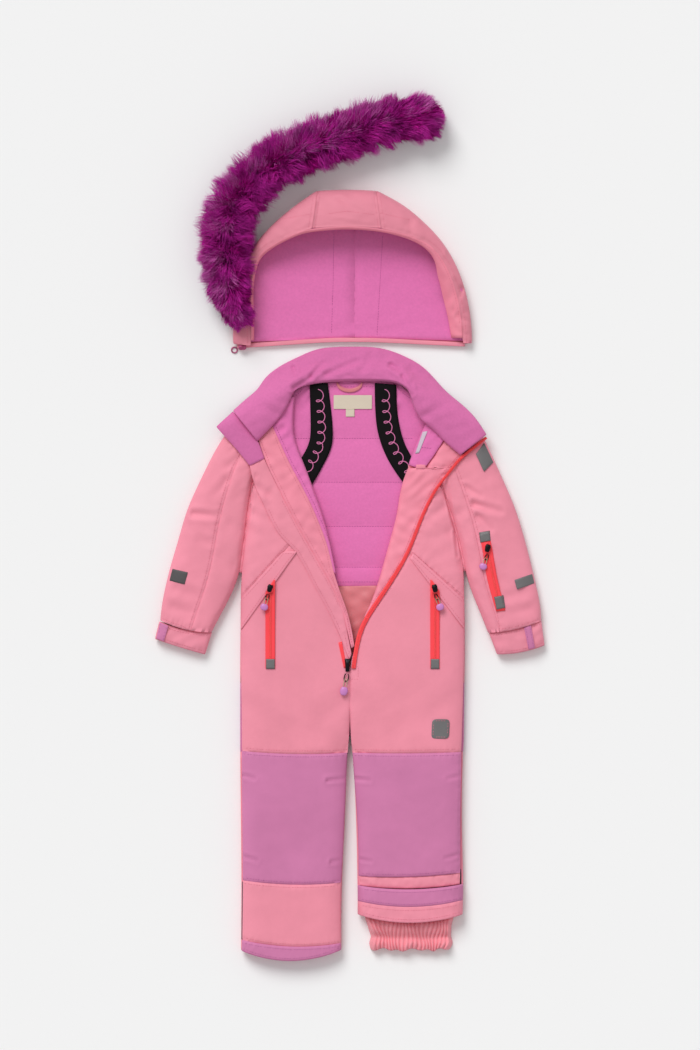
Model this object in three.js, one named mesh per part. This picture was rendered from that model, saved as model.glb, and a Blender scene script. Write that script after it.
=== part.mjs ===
import * as THREE from "three";

// A toddler's padded snowsuit for a height of about 104 cm, laid on its back, the front unzipped, the hood
// taken off above the collar, and the fur ruff taken off the hood.
// Millimetres: x towards the wearer's left, y towards the hood, z up from the surface it lies on. The tables
// below count y from the crotch and x from the centre seam.

// Where the middle of the whole object's box lies in the tables' frame
const boxMiddle = { x: -1, y: 309.6 };

// Layers, as heights above the surface
const seamGap = 0.3;
const backTop = 12; // back shell and padding
const backUnderLining = 7; // back shell where the fleece lies on it
const liningTop = 12;
const webbingThick = 1.6;
const frontUnder = 12.4;
const edgeUnder = liningTop + webbingThick + 0.7; // the front edges lie on the webbing
const sideSeam = 7.5; // height of the side seams' lower edge
const leastFront = 1.6; // the front's thickness at a side seam
const frontReach = 30; // from a side seam to the front's full height
const backReach = 14;
const overlay = 0.5; // a trim's clearance over the panel it is sewn to
const sleeveTop = 24;
const sleeveMiddle = 11;
const hoodWall = 2.6;
const liningWall = 2.6;
const shoulderLift = 24.8; // underside of the collar where it lies on the fronts

const colours = {
  shell: 0xec8fa0,
  fleece: 0xdc70ae,
  mauve: 0xcb77a6,
  satin: 0xf0a3ab,
  neon: 0xff4a4f,
  black: 0x1b1a1c,
  grey: 0x8a8a8a,
  cream: 0xe9e0cc,
  lilac: 0xc39bd3,
  fur: 0x8f1a78,
};

const root = new THREE.Group();
root.name = "toddler_snowsuit";
root.position.set(-boxMiddle.x, -boxMiddle.y, 0);

const clamp01 = (t) => Math.min(1, Math.max(0, t));
const smooth = (t) => clamp01(t) ** 2 * (3 - 2 * clamp01(t));
const mix = THREE.MathUtils.lerp;

// A quarter ellipse: 0 at a seam, 1 from `reach` inwards
function crown(distance, reach) {
  const t = clamp01(distance / reach);
  return Math.sqrt(1 - (1 - t) ** 2);
}

// The value of column `key` at v = 0 to 1 along a table, on a smooth curve that turns at a row marked corner
function along(rows, key, v) {
  const last = rows.length - 1;
  const place = clamp01(v) * last;
  const i = Math.min(last - 1, Math.floor(place));
  const t = place - i;
  const value = (k) => rows[Math.min(last, Math.max(0, k))][key];
  const slope = (k) => (rows[k].corner || k === 0 || k === last ? 0 : (value(k + 1) - value(k - 1)) / 2);
  const step = value(i + 1) - value(i);
  const m0 = i === 0 || rows[i].corner ? step : slope(i);
  const m1 = i + 1 === last || rows[i + 1].corner ? step : slope(i + 1);
  const t2 = t * t;
  const t3 = t2 * t;
  return value(i) + m0 * (t3 - 2 * t2 + t) + step * (3 * t2 - 2 * t3) + m1 * (t3 - t2);
}

// The value of column x at height y of a table sorted from high y to low y
function sideAt(rows, y) {
  if (y >= rows[0].y) return rows[0].x;
  for (let i = 1; i < rows.length; i++) {
    if (y >= rows[i].y) return mix(rows[i].x, rows[i - 1].x, (y - rows[i].y) / (rows[i - 1].y - rows[i].y));
  }
  return rows[rows.length - 1].x;
}

// Evenly spaced numbers from 0 to 1
const even = (n) => Array.from({ length: n + 1 }, (_, i) => i / n);
// Closer together at both ends, for a rounded edge on each side
const rounded = [0, 0.015, 0.05, 0.11, 0.2, 0.35, 0.5, 0.65, 0.8, 0.89, 0.95, 0.985, 1];
// Closer together at the wearer's right end, or at the left end
const roundedFirst = [0, 0.015, 0.05, 0.11, 0.2, 0.36, 0.52, 0.68, 0.84, 1];
const roundedLast = roundedFirst.map((u) => 1 - u).reverse();

// A surface between the two borders of a table with the columns lx, ly, rx, ry and sag
function between(rows) {
  return (v, u) => {
    const sag = rows[0].sag === undefined ? 0 : along(rows, "sag", v);
    const x = mix(along(rows, "lx", v), along(rows, "rx", v), u);
    const y = mix(along(rows, "ly", v), along(rows, "ry", v), u) - sag * 4 * u * (1 - u);
    return { x, y };
  };
}

// The volume that the triangles enclose, below zero where their faces point inwards
function enclosed(positions, index) {
  const at = (i) => new THREE.Vector3().fromArray(positions, 3 * i);
  let volume = 0;
  for (let i = 0; i < index.length; i += 3) {
    volume += at(index[i]).dot(at(index[i + 1]).cross(at(index[i + 2]))) / 6;
  }
  return volume;
}

function addMesh(name, colour, positions, index, finish = {}) {
  if (enclosed(positions, index) < 0) index.reverse();
  const geometry = new THREE.BufferGeometry();
  geometry.setAttribute("position", new THREE.Float32BufferAttribute(positions, 3));
  geometry.setIndex(index);
  geometry.computeVertexNormals();
  const cloth = { color: colour, roughness: 0.8, metalness: 0 };
  const material = new THREE.MeshStandardMaterial({ ...cloth, ...finish });
  const mesh = new THREE.Mesh(geometry, material);
  mesh.name = name;
  root.add(mesh);
  return mesh;
}

// Joins an upper and a lower grid of points, of the same numbers of rows and columns, into one closed solid
function closeGrids(name, colour, upper, lower, finish) {
  const rows = upper.length;
  const columns = upper[0].length;
  const positions = [];
  for (const grid of [upper, lower]) {
    for (const row of grid) for (const p of row) positions.push(p.x, p.y, p.z);
  }
  const id = (side, i, j) => side * rows * columns + i * columns + j;
  const index = [];
  const quad = (a, b, c, d) => index.push(a, b, c, a, c, d);
  for (let i = 0; i < rows - 1; i++) {
    for (let j = 0; j < columns - 1; j++) {
      quad(id(0, i, j), id(0, i, j + 1), id(0, i + 1, j + 1), id(0, i + 1, j));
      quad(id(1, i, j), id(1, i + 1, j), id(1, i + 1, j + 1), id(1, i, j + 1));
    }
  }
  for (let j = 0; j < columns - 1; j++) {
    quad(id(0, 0, j + 1), id(0, 0, j), id(1, 0, j), id(1, 0, j + 1));
    quad(id(0, rows - 1, j), id(0, rows - 1, j + 1), id(1, rows - 1, j + 1), id(1, rows - 1, j));
  }
  for (let i = 0; i < rows - 1; i++) {
    quad(id(0, i, 0), id(0, i + 1, 0), id(1, i + 1, 0), id(1, i, 0));
    quad(id(0, i + 1, columns - 1), id(0, i, columns - 1), id(1, i, columns - 1), id(1, i + 1, columns - 1));
  }
  return addMesh(name, colour, positions, index, finish);
}

// Joins rings of points of equal number into one closed solid, with flat ends
function addTube(name, colour, rings, finish) {
  const count = rings[0].length;
  const positions = rings.flatMap((ring) => ring.flatMap((p) => [p.x, p.y, p.z]));
  const index = [];
  for (let i = 0; i < rings.length - 1; i++) {
    for (let j = 0; j < count; j++) {
      const [a, b] = [i * count + j, i * count + ((j + 1) % count)];
      index.push(a, b, b + count, a, b + count, a + count);
    }
  }
  // The ends are triangulated in the ring's own plane: along it, and up
  for (const isLast of [false, true]) {
    const ring = isLast ? rings.length - 1 : 0;
    const points = rings[ring];
    const from = points[0];
    const away = (p) => Math.hypot(p.x - from.x, p.y - from.y);
    const far = points.reduce((a, b) => (away(b) > away(a) ? b : a));
    const flat = points.map((p) => {
      const s = ((p.x - from.x) * (far.x - from.x) + (p.y - from.y) * (far.y - from.y)) / away(far);
      return new THREE.Vector2(s, p.z);
    });
    const ahead = THREE.ShapeUtils.area(flat) > 0;
    for (const ids of THREE.ShapeUtils.triangulateShape(flat, [])) {
      const same = THREE.ShapeUtils.area(ids.map((k) => flat[k])) > 0 === ahead;
      const [a, b, c] = ids.map((k) => ring * count + k);
      if (same === isLast) index.push(a, b, c);
      else index.push(a, c, b);
    }
  }
  return addMesh(name, colour, positions, index, finish);
}

// A panel: its rows run up the garment (growing v) and its columns towards the wearer's left (growing u)
function panel({ name, colour, sheet, vs, us, top, bottom, finish }) {
  const grid = (height) =>
    vs.map((v) =>
      us.map((u) => {
        const { x, y } = sheet(v, u);
        return { x, y, z: height(x, y, v, u) };
      }),
    );
  return closeGrids(name, colour, grid(top), grid(bottom), finish);
}

// Side lines of the body, from the shoulder down: y, and x of the back's edge
const rightSide = [
  { y: 470, x: -235 },
  { y: 425, x: -192 },
  { y: 392, x: -161 },
  { y: 371, x: -157 },
  { y: 322, x: -163 },
  { y: 238, x: -173 },
  { y: 128, x: -175 },
  { y: -49, x: -175 },
  { y: -256, x: -173 },
  { y: -390, x: -173.6 },
];
const leftSide = [
  { y: 470, x: 240 },
  { y: 416, x: 186 },
  { y: 382, x: 151 },
  { y: 371, x: 147 },
  { y: 326, x: 160 },
  { y: 281, x: 173 },
  { y: 238, x: 182 },
  { y: 128, x: 183.5 },
  { y: -53, x: 180 },
  { y: -219, x: 178 },
  { y: -257, x: 180.5 },
  { y: -390, x: 179.7 },
];
// Inside legs
const rightInseam = [
  { y: 0, x: -0.4 },
  { y: -64, x: -4.8 },
  { y: -128, x: -7 },
  { y: -208, x: -10.2 },
  { y: -256, x: -13.3 },
  { y: -390, x: -14.2 },
];
const leftInseam = [
  { y: 0, x: 0.4 },
  { y: -56, x: 2.9 },
  { y: -115, x: 8 },
  { y: -166, x: 11.5 },
  { y: -219, x: 13.3 },
  { y: -390, x: 12.6 },
];
// Height of the fronts along the body
const frontHeights = [
  { y: 500, x: 24 },
  { y: 380, x: 24 },
  { y: 250, x: 26 },
  { y: 60, x: 28 },
  { y: -300, x: 27 },
];

// Distance in from the nearest edge of the body, where the inside legs count only below the crotch
function edgeDistances(x, y) {
  const side = Math.min(x - sideAt(rightSide, y), sideAt(leftSide, y) - x);
  const inside = x < 0 ? sideAt(rightInseam, y) - x : x - sideAt(leftInseam, y);
  return { side, inside: y < 0 ? inside : Infinity, fade: smooth(-y / 70) };
}

// The largest creases of the fronts and sleeves, as soft troughs between two points
const creases = [
  { x: -118, y: 352, toX: -148, toY: 372, wide: 12, deep: 1.6 },
  { x: -108, y: 325, toX: -140, toY: 330, wide: 13, deep: 1.6 },
  { x: 118, y: 305, toX: 150, toY: 330, wide: 13, deep: 1.5 },
  { x: -250, y: 330, toX: -205, toY: 326, wide: 11, deep: 2.2 },
  { x: 200, y: 329, toX: 242, toY: 340, wide: 11, deep: 2.2 },
  { x: 202, y: 329, toX: 228, toY: 300, wide: 11, deep: 1.8 },
  { x: -196, y: 190, toX: -262, toY: 205, wide: 14, deep: 1.6 },
  { x: 206, y: 186, toX: 270, toY: 198, wide: 14, deep: 1.6 },
  { x: -170, y: -87, toX: -148, toY: -93, wide: 10, deep: 1.8 },
  { x: -170, y: -218, toX: -146, toY: -224, wide: 10, deep: 1.8 },
  { x: -10, y: -94, toX: -36, toY: -96, wide: 10, deep: 1.8 },
  { x: -14, y: -225, toX: -32, toY: -226, wide: 10, deep: 1.8 },
  { x: 10, y: -92, toX: 34, toY: -96, wide: 10, deep: 1.8 },
  { x: 174, y: -90, toX: 152, toY: -95, wide: 10, deep: 1.8 },
  { x: 16, y: -222, toX: 38, toY: -225, wide: 10, deep: 1.8 },
  { x: 174, y: -216, toX: 150, toY: -220, wide: 10, deep: 1.8 },
  { x: -150, y: 20, toX: -95, toY: -30, wide: 20, deep: 1.2 },
  { x: 150, y: 30, toX: 90, toY: -25, wide: 20, deep: 1.2 },
];
function creaseDepth(x, y) {
  let depth = 0;
  for (const c of creases) {
    const dx = c.toX - c.x;
    const dy = c.toY - c.y;
    const t = clamp01(((x - c.x) * dx + (y - c.y) * dy) / (dx * dx + dy * dy));
    const off = Math.hypot(x - c.x - t * dx, y - c.y - t * dy);
    depth += c.deep * (1 - smooth(off / c.wide)) * (1 - 0.7 * t);
  }
  return depth;
}

// The fronts' outer surface without its creases, the surface that the trims lie on
function frontRound(x, y) {
  const { side, inside, fade } = edgeDistances(x, y);
  return crown(side, frontReach) * mix(1, crown(inside, frontReach), fade);
}
function frontFull(x, y) {
  return frontUnder + leastFront + (sideAt(frontHeights, y) - frontUnder - leastFront) * frontRound(x, y);
}
const frontTop = (x, y) => frontFull(x, y) - creaseDepth(x, y) * frontRound(x, y);

// The back's underside: flat on the surface, turned up at the edges
function backUnder(x, y) {
  const { side, inside, fade } = edgeDistances(x, y);
  return sideSeam * (1 - crown(side, backReach) * mix(1, crown(inside, backReach), fade));
}

// The back's upper face, which steps down to take the fleece lining
function backUpper(x, y) {
  const { side } = edgeDistances(x, y);
  const inner = smooth((side - 5) / 9) * smooth((y - 25) / 30);
  return mix(backTop, backUnderLining, inner);
}

// Back of the suit
const backBodice = [
  { lx: -175, ly: 60, rx: 182.4, ry: 60 },
  { lx: -175, ly: 128, rx: 183.5, ry: 128 },
  { lx: -173, ly: 238, rx: 182, ry: 238 },
  { lx: -168, ly: 281, rx: 173, ry: 281 },
  { lx: -162.6, ly: 325, rx: 160, ry: 326 },
  { lx: -157, ly: 371, rx: 147, ry: 371, corner: true },
  { lx: -149.5, ly: 394, rx: 142.5, ry: 382, corner: true },
  { lx: -170, ly: 425, rx: 172.5, ry: 416 },
  { lx: -193, ly: 456, rx: 207, ry: 454, corner: true },
  { lx: -145, ly: 490, rx: 154, ry: 488 },
  { lx: -98, ly: 519, rx: 102, ry: 518, corner: true },
  { lx: -74, ly: 538.5, rx: 74, ry: 539 },
];
const backSeat = [
  { lx: -175, ly: -50, rx: 180, ry: -50, sag: 0 },
  { lx: -175, ly: -20, rx: 181, ry: -20, sag: 0 },
  { lx: -175, ly: 20, rx: 181.6, ry: 20, sag: 0 },
  { lx: -175, ly: 59.7, rx: 182.3, ry: 59.7, sag: 0 },
];
const backLegRight = [
  { lx: -173.6, ly: -367, rx: -14.2, ry: -366, sag: 12 },
  { lx: -173.4, ly: -320, rx: -14.4, ry: -320, sag: 6 },
  { lx: -173, ly: -256, rx: -13.3, ry: -256, sag: 2 },
  { lx: -174, ly: -150, rx: -8, ry: -150, sag: 1 },
  { lx: -175, ly: -50.3, rx: -3.7, ry: -50.3, sag: 0 },
];
const backLegLeft = [
  { lx: 12.6, ly: -309, rx: 179.7, ry: -309, sag: 12 },
  { lx: 12.7, ly: -285, rx: 180, ry: -285, sag: 8 },
  { lx: 12.4, ly: -257, rx: 180.5, ry: -257, sag: 3 },
  { lx: 10, ly: -150, rx: 178, ry: -150, sag: 1 },
  { lx: 2.7, ly: -50.3, rx: 180, ry: -50.3, sag: 0 },
];
panel({
  name: "back_bodice",
  colour: colours.shell,
  sheet: between(backBodice),
  vs: even(backBodice.length - 1),
  us: rounded,
  top: backUpper,
  bottom: backUnder,
});
// The seat's hem runs level across each leg and rises to the crotch
const seatHem = { side: -50, crotch: -1, reach: 60 };
const seatHemAt = (x) => mix(seatHem.side, seatHem.crotch, clamp01(1 - Math.abs(x) / seatHem.reach));
// Share of a row's width at which it meets x
const shareOf = (row, x) => (x - row.lx) / (row.rx - row.lx);
const crotchColumns = [-seatHem.reach, 0, seatHem.reach].map((x) => shareOf(backSeat[0], x));
panel({
  name: "back_seat",
  colour: colours.mauve,
  sheet: (v, u) => {
    const p = between(backSeat)(v, u);
    return { x: p.x, y: mix(seatHemAt(p.x), p.y, smooth(v)) };
  },
  vs: even(4),
  us: [...rounded.slice(0, 5), ...crotchColumns, ...rounded.slice(8)],
  top: backUpper,
  bottom: (x, y) => sideSeam * (1 - crown(edgeDistances(x, Math.max(y, 0)).side, backReach)),
});
for (const [name, rows] of [
  ["back_leg_right", backLegRight],
  ["back_leg_left", backLegLeft],
]) {
  const hem = shareOf(rows.at(-1), rows.at(-1).lx < 0 ? -seatHem.reach : seatHem.reach);
  panel({
    name,
    colour: colours.shell,
    sheet: (v, u) => {
      const p = between(rows)(v, u);
      return { x: p.x, y: p.y + (seatHemAt(p.x) - seatHem.side) * smooth((v - 0.7) / 0.3) };
    },
    vs: even(8),
    us: [...rounded, hem].sort((a, b) => a - b),
    top: () => backTop,
    bottom: backUnder,
  });
}

// Linings that show inside the open front. The fleece is quilted across in channels.
const quiltLines = [215, 244.6, 309.8, 380.5, 450.4, 539];
const quiltRise = 2.6;
const liningSides = [
  { y: 545, right: -70, left: 70 },
  { y: 520, right: -92, left: 96 },
  { y: 462, right: -168, left: 180 },
  { y: 425, right: -140, left: 142 },
  { y: 371, right: -130, left: 122 },
  { y: 215, right: -146, left: 152 },
  { y: 70, right: -148, left: 156 },
];
function liningWidth(y) {
  let i = 1;
  while (i < liningSides.length - 1 && y < liningSides[i].y) i++;
  const [a, b] = [liningSides[i - 1], liningSides[i]];
  const t = clamp01((a.y - y) / (a.y - b.y));
  return { right: mix(a.right, b.right, t), left: mix(a.left, b.left, t) };
}
const liningSheet = (from, to) => (v, u) => {
  const y = mix(from, to, v);
  const { right, left } = liningWidth(y);
  return { x: mix(right, left, u), y };
};
const channelParts = [0, 0.12, 0.5, 0.88];
const quiltRows = quiltLines
  .slice(1)
  .flatMap((y, i) => channelParts.map((t) => mix(quiltLines[i], y, t)))
  .concat(quiltLines.at(-1));
function quiltHeight(y) {
  const i = Math.min(quiltLines.length - 2, Math.max(0, quiltLines.findIndex((line) => y < line) - 1));
  const t = clamp01((y - quiltLines[i]) / (quiltLines[i + 1] - quiltLines[i]));
  return liningTop - quiltRise * (1 - Math.sqrt(Math.sin(Math.PI * t)));
}
panel({
  name: "back_lining",
  colour: colours.fleece,
  sheet: liningSheet(quiltLines[0], quiltLines.at(-1)),
  vs: quiltRows.map((y) => (y - quiltLines[0]) / (quiltLines.at(-1) - quiltLines[0])),
  us: [0, 0.08, 0.3, 0.5, 0.7, 0.92, 1],
  top: (x, y) => quiltHeight(y),
  bottom: () => backUnderLining + seamGap,
});
panel({
  name: "seat_lining",
  colour: colours.satin,
  sheet: liningSheet(72, quiltLines[0] - seamGap),
  vs: even(6),
  us: even(8),
  top: (x, y) => 10.4 + 0.7 * Math.sin(x / 9 + y / 23) - 1.2 * smooth((y - 200) / 15),
  bottom: () => backUnderLining + seamGap,
});

// Fronts
const panelColumns = { right: roundedFirst, left: roundedLast };
const chestRight = [
  { lx: -174.2, ly: 193.2, rx: -79, ry: 298.8 },
  { lx: -173.6, ly: 216, rx: -87.5, ry: 316 },
  { lx: -172, ly: 238, rx: -96.5, ry: 333 },
  { lx: -168, ly: 280, rx: -108.5, ry: 357 },
  { lx: -162.4, ly: 325, rx: -119.5, ry: 380 },
  { lx: -157, ly: 370, rx: -130.8, ry: 402, corner: true },
  { lx: -149.5, ly: 394, rx: -139.6, ry: 425, corner: true },
  { lx: -193, ly: 456, rx: -147.8, ry: 448, corner: true },
  { lx: -160, ly: 477, rx: -136, ry: 462 },
];
const chestLeft = [
  { lx: 93.2, ly: 268.4, rx: 182, ry: 192.6 },
  { lx: 103.5, ly: 296, rx: 181.6, ry: 215 },
  { lx: 114.3, ly: 324, rx: 180.5, ry: 240 },
  { lx: 124.5, ly: 346, rx: 173, ry: 281 },
  { lx: 136, ly: 366.4, rx: 160, ry: 326 },
  { lx: 140.5, ly: 374, rx: 147.2, ry: 370 },
];
const hipRight = [
  { lx: -172.2, ly: -48.6, rx: -4.4, ry: -51.4, sag: 3.5 },
  { lx: -172.3, ly: -20, rx: -1.6, ry: -20, sag: 0 },
  { lx: -172.6, ly: 20, rx: -0.3, ry: 15, sag: 0 },
  { lx: -173.4, ly: 62, rx: -0.2, ry: 60, sag: 0 },
  { lx: -174, ly: 105, rx: -0.3, ry: 100, sag: 0, corner: true },
  { lx: -174.2, ly: 128, rx: -4, ry: 132, sag: 0 },
  { lx: -174.4, ly: 148, rx: -11.4, ry: 168, sag: 0 },
  { lx: -174.4, ly: 166, rx: -28, ry: 211, sag: 0 },
  { lx: -174.3, ly: 181, rx: -58, ry: 264, sag: 0 },
  { lx: -174.3, ly: 192.6, rx: -79.2, ry: 298.2, sag: 0 },
];
const hipLeft = [
  { lx: 4.2, ly: -51.4, rx: 177.2, ry: -50.4, sag: 1.5 },
  { lx: 1.4, ly: -20, rx: 178.6, ry: -20, sag: 0 },
  { lx: 0.3, ly: 15, rx: 179.6, ry: 20, sag: 0 },
  { lx: 0.2, ly: 60, rx: 180.8, ry: 62, sag: 0 },
  { lx: 1, ly: 92, rx: 181.8, ry: 100, sag: 0, corner: true },
  { lx: 9, ly: 118, rx: 182.2, ry: 128, sag: 0 },
  { lx: 28.9, ly: 169, rx: 182.3, ry: 148, sag: 0 },
  { lx: 62.8, ly: 216, rx: 182.2, ry: 168, sag: 0 },
  { lx: 80, ly: 243, rx: 182.1, ry: 181, sag: 0 },
  { lx: 92.9, ly: 267.8, rx: 182, ry: 192, sag: 0 },
];
const frontPanels = [
  { name: "chest_right", rows: chestRight, us: panelColumns.right, perRow: 1 },
  { name: "chest_left", rows: chestLeft, us: panelColumns.left, perRow: 2 },
  { name: "hip_right", rows: hipRight, us: panelColumns.right, perRow: 1 },
  { name: "hip_left", rows: hipLeft, us: panelColumns.left, perRow: 1 },
];
for (const { name, rows, us, perRow } of frontPanels) {
  panel({
    name,
    colour: colours.shell,
    sheet: between(rows),
    vs: even((rows.length - 1) * perRow),
    us,
    top: frontTop,
    bottom: () => frontUnder,
  });
}

// Legs: knee patch, shin and hem band of the right leg, knee patch, shin and turned-up hem of the left
const kneeRight = [
  { lx: -170.6, ly: -255.2, rx: -14.6, ry: -258.8, sag: 5 },
  { lx: -171, ly: -205, rx: -11.4, ry: -207, sag: 3 },
  { lx: -171.6, ly: -150, rx: -9.2, ry: -152, sag: 2.5 },
  { lx: -172, ly: -98, rx: -6.8, ry: -102, sag: 3 },
  { lx: -172.2, ly: -49.2, rx: -4.6, ry: -52, sag: 3.5 },
];
const kneeLeft = [
  { lx: 14.2, ly: -248, rx: 175.4, ry: -243, sag: 4 },
  { lx: 14, ly: -205, rx: 175.6, ry: -203, sag: 2 },
  { lx: 11.8, ly: -150, rx: 175.6, ry: -150, sag: 1.5 },
  { lx: 7.6, ly: -100, rx: 176.4, ry: -100, sag: 1.5 },
  { lx: 4.4, ly: -52, rx: 177.2, ry: -51, sag: 1.5 },
];
const shinRight = [
  { lx: -171.6, ly: -350.6, rx: -15.2, ry: -355.6, sag: 8 },
  { lx: -171, ly: -300, rx: -15.2, ry: -304, sag: 7 },
  { lx: -170.6, ly: -255.8, rx: -14.6, ry: -259.4, sag: 5 },
];
const hemRight = [
  { lx: -172.6, ly: -368, rx: -14.6, ry: -366.4, sag: 17 },
  { lx: -171.8, ly: -351.2, rx: -15.2, ry: -356.2, sag: 8 },
];
const shinLeft = [
  { lx: 15.4, ly: -263, rx: 174.6, ry: -261, sag: 6 },
  { lx: 14.2, ly: -248.6, rx: 175.4, ry: -243.6, sag: 4 },
];
const turnUpLeft = [
  { lx: 12.8, ly: -309.6, rx: 179.6, ry: -309.6, sag: 13.5 },
  { lx: 12.7, ly: -288.6, rx: 180, ry: -287.2, sag: 10.4 },
];
const hemLeft = [
  { lx: 12.7, ly: -288, rx: 180, ry: -286.6, sag: 10.4 },
  { lx: 12.6, ly: -263.8, rx: 180.4, ry: -262, sag: 7.6 },
];
const turnUpRise = 4; // the turned-up hem stands above the shin under it
for (const { name, colour, rows, steps, rise } of [
  { name: "knee_right", colour: colours.mauve, rows: kneeRight, steps: 7, rise: 0 },
  { name: "knee_left", colour: colours.mauve, rows: kneeLeft, steps: 7, rise: 0 },
  { name: "shin_right", colour: colours.shell, rows: shinRight, steps: 3, rise: 0 },
  { name: "shin_left", colour: colours.shell, rows: shinLeft, steps: 1, rise: -2 },
  { name: "hem_right", colour: colours.mauve, rows: hemRight, steps: 1, rise: 0.4 },
  { name: "hem_left", colour: colours.mauve, rows: hemLeft, steps: 1, rise: turnUpRise },
  { name: "turn_up_left", colour: colours.satin, rows: turnUpLeft, steps: 2, rise: turnUpRise },
]) {
  panel({
    name,
    colour,
    sheet: between(rows),
    vs: even(steps),
    us: rounded,
    top: (x, y) => {
      const { side, inside } = edgeDistances(x, y);
      return frontTop(x, y) + rise * crown(Math.min(side, inside), 12);
    },
    bottom: () => frontUnder,
  });
}

// Snow gaiter of the left leg, gathered by an elastic above its hem
const gathers = 22;
const gaiter = [
  { y: -366, right: 34, left: 160, top: 14, wave: 1.6 },
  { y: -357, right: 31, left: 164, top: 17, wave: 2.2 },
  { y: -346, right: 32, left: 162.6, top: 13.5, wave: 1 },
  { y: -337, right: 29, left: 164, top: 17.5, wave: 2 },
  { y: -314.1, right: 26, left: 166, top: 18, wave: 1.2 },
];
panel({
  name: "gaiter_left",
  colour: colours.satin,
  sheet: (v, u) => {
    const sag = mix(1, 10, v) * 4 * u * (1 - u);
    const [right, left] = [along(gaiter, "right", v), along(gaiter, "left", v)];
    return { x: mix(right, left, u), y: along(gaiter, "y", v) - sag };
  },
  vs: even(4),
  us: even(gathers * 2),
  top: (x, y, v, u) => {
    const fold = along(gaiter, "wave", v) * (Math.round(u * gathers * 2) % 2 ? -1 : 1);
    return 2 + (along(gaiter, "top", v) - 2 + fold) * crown(Math.min(u, 1 - u), 0.07);
  },
  bottom: () => 0,
});

// Front edges, folded out so that their facings show, and the fleece inside them
const facingRight = [
  { lx: 2.4, ly: 116, rx: 6.4, ry: 119 },
  { lx: -9.4, ly: 169.8, rx: -0.8, ry: 165 },
  { lx: -26.2, ly: 213.2, rx: -17.4, ry: 207 },
  { lx: -44, ly: 243.5, rx: -27.4, ry: 239 },
  { lx: -60.8, ly: 272.4, rx: -36.2, ry: 281 },
  { lx: -78, ly: 302.4, rx: -48.4, ry: 312 },
  { lx: -95, ly: 333.4, rx: -62.2, ry: 345 },
  { lx: -112, ly: 368, rx: -79.4, ry: 378 },
  { lx: -129.4, ly: 402, rx: -96.4, ry: 409 },
  { lx: -138.4, ly: 425, rx: -109.4, ry: 438 },
  { lx: -146.2, ly: 449, rx: -124.4, ry: 471 },
];
const liningEdgeRight = [
  { lx: -26.8, ly: 239.4, rx: -22.6, ry: 233 },
  { lx: -35.6, ly: 281.4, rx: -31, ry: 278 },
  { lx: -47.8, ly: 312.4, rx: -39, ry: 309 },
  { lx: -61.6, ly: 345.4, rx: -48.4, ry: 341 },
  { lx: -78.8, ly: 378.4, rx: -59.4, ry: 370 },
  { lx: -95.8, ly: 409.4, rx: -70.6, ry: 401.6 },
  { lx: -108.8, ly: 438.2, rx: -83.6, ry: 432 },
  { lx: -123.8, ly: 471, rx: -91.7, ry: 457, corner: true },
  { lx: -106, ly: 502, rx: -91, ry: 488 },
  { lx: -99, ly: 516, rx: -89, ry: 516 },
];
const facingLeft = [
  { lx: 24, ly: 166, rx: 25.2, ry: 163.8 },
  { lx: 32.6, ly: 182.4, rx: 36.2, ry: 182 },
  { lx: 45.4, ly: 216.8, rx: 61.6, ry: 217.2 },
  { lx: 53, ly: 244, rx: 78.8, ry: 244.4 },
  { lx: 60.8, ly: 272, rx: 91.8, ry: 269.4 },
  { lx: 68, ly: 298, rx: 102.6, ry: 297 },
  { lx: 75.2, ly: 324, rx: 113.6, ry: 325 },
  { lx: 78.4, ly: 345, rx: 123.8, ry: 347 },
  { lx: 81.6, ly: 366.4, rx: 135, ry: 367.8 },
  { lx: 87, ly: 386, rx: 147, ry: 387 },
  { lx: 93.5, ly: 402, rx: 158, ry: 400, corner: true },
  { lx: 118.6, ly: 400.6, rx: 164, ry: 406, corner: true },
  { lx: 134, ly: 423, rx: 172.2, ry: 416 },
  { lx: 151, ly: 449, rx: 179.2, ry: 424 },
];
const liningEdgeLeft = [
  { lx: 95, ly: 409, rx: 117, ry: 402.4 },
  { lx: 105, ly: 436, rx: 133.2, ry: 423.8 },
  { lx: 117, ly: 462, rx: 147.6, ry: 447 },
  { lx: 122, ly: 473, rx: 150.4, ry: 451 },
];
// A rolled edge: round along its inner border, level with its neighbour along the outer one
const rollEdge = { reach: 0.35, drop: 7 };
for (const { name, colour, rows, rise, rollAt } of [
  { name: "facing_right", colour: colours.shell, rows: facingRight, rise: 3.4, rollAt: null },
  { name: "lining_edge_right", colour: colours.fleece, rows: liningEdgeRight, rise: 3, rollAt: 1 },
  { name: "facing_left", colour: colours.shell, rows: facingLeft, rise: 0, rollAt: 0 },
  { name: "lining_edge_left", colour: colours.fleece, rows: liningEdgeLeft, rise: 0, rollAt: 0 },
]) {
  panel({
    name,
    colour,
    sheet: between(rows),
    vs: even(rows.length - 1),
    us: rollAt === 1 ? [0, 0.5, 0.8, 0.93, 1] : [0, 0.07, 0.2, 0.5, 1],
    top: (x, y, v, u) => {
      const roll = rollAt === null ? 1 : crown(rollAt ? 1 - u : u, rollEdge.reach);
      const nearNeck = smooth((y - 395) / 30);
      return frontTop(x, y) + rise * (1 - nearNeck) - rollEdge.drop * (1 - roll) - 0.4 * nearNeck;
    },
    bottom: () => edgeUnder,
  });
}

// Collar, laid open with its fleece up, on the fronts and the sleeve heads and past the shoulder seams
const shoulderSeams = [
  { x: -196, y: 460, toX: -98, toY: 519 },
  { x: 102, y: 518, toX: 210, toY: 458 },
];
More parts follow.
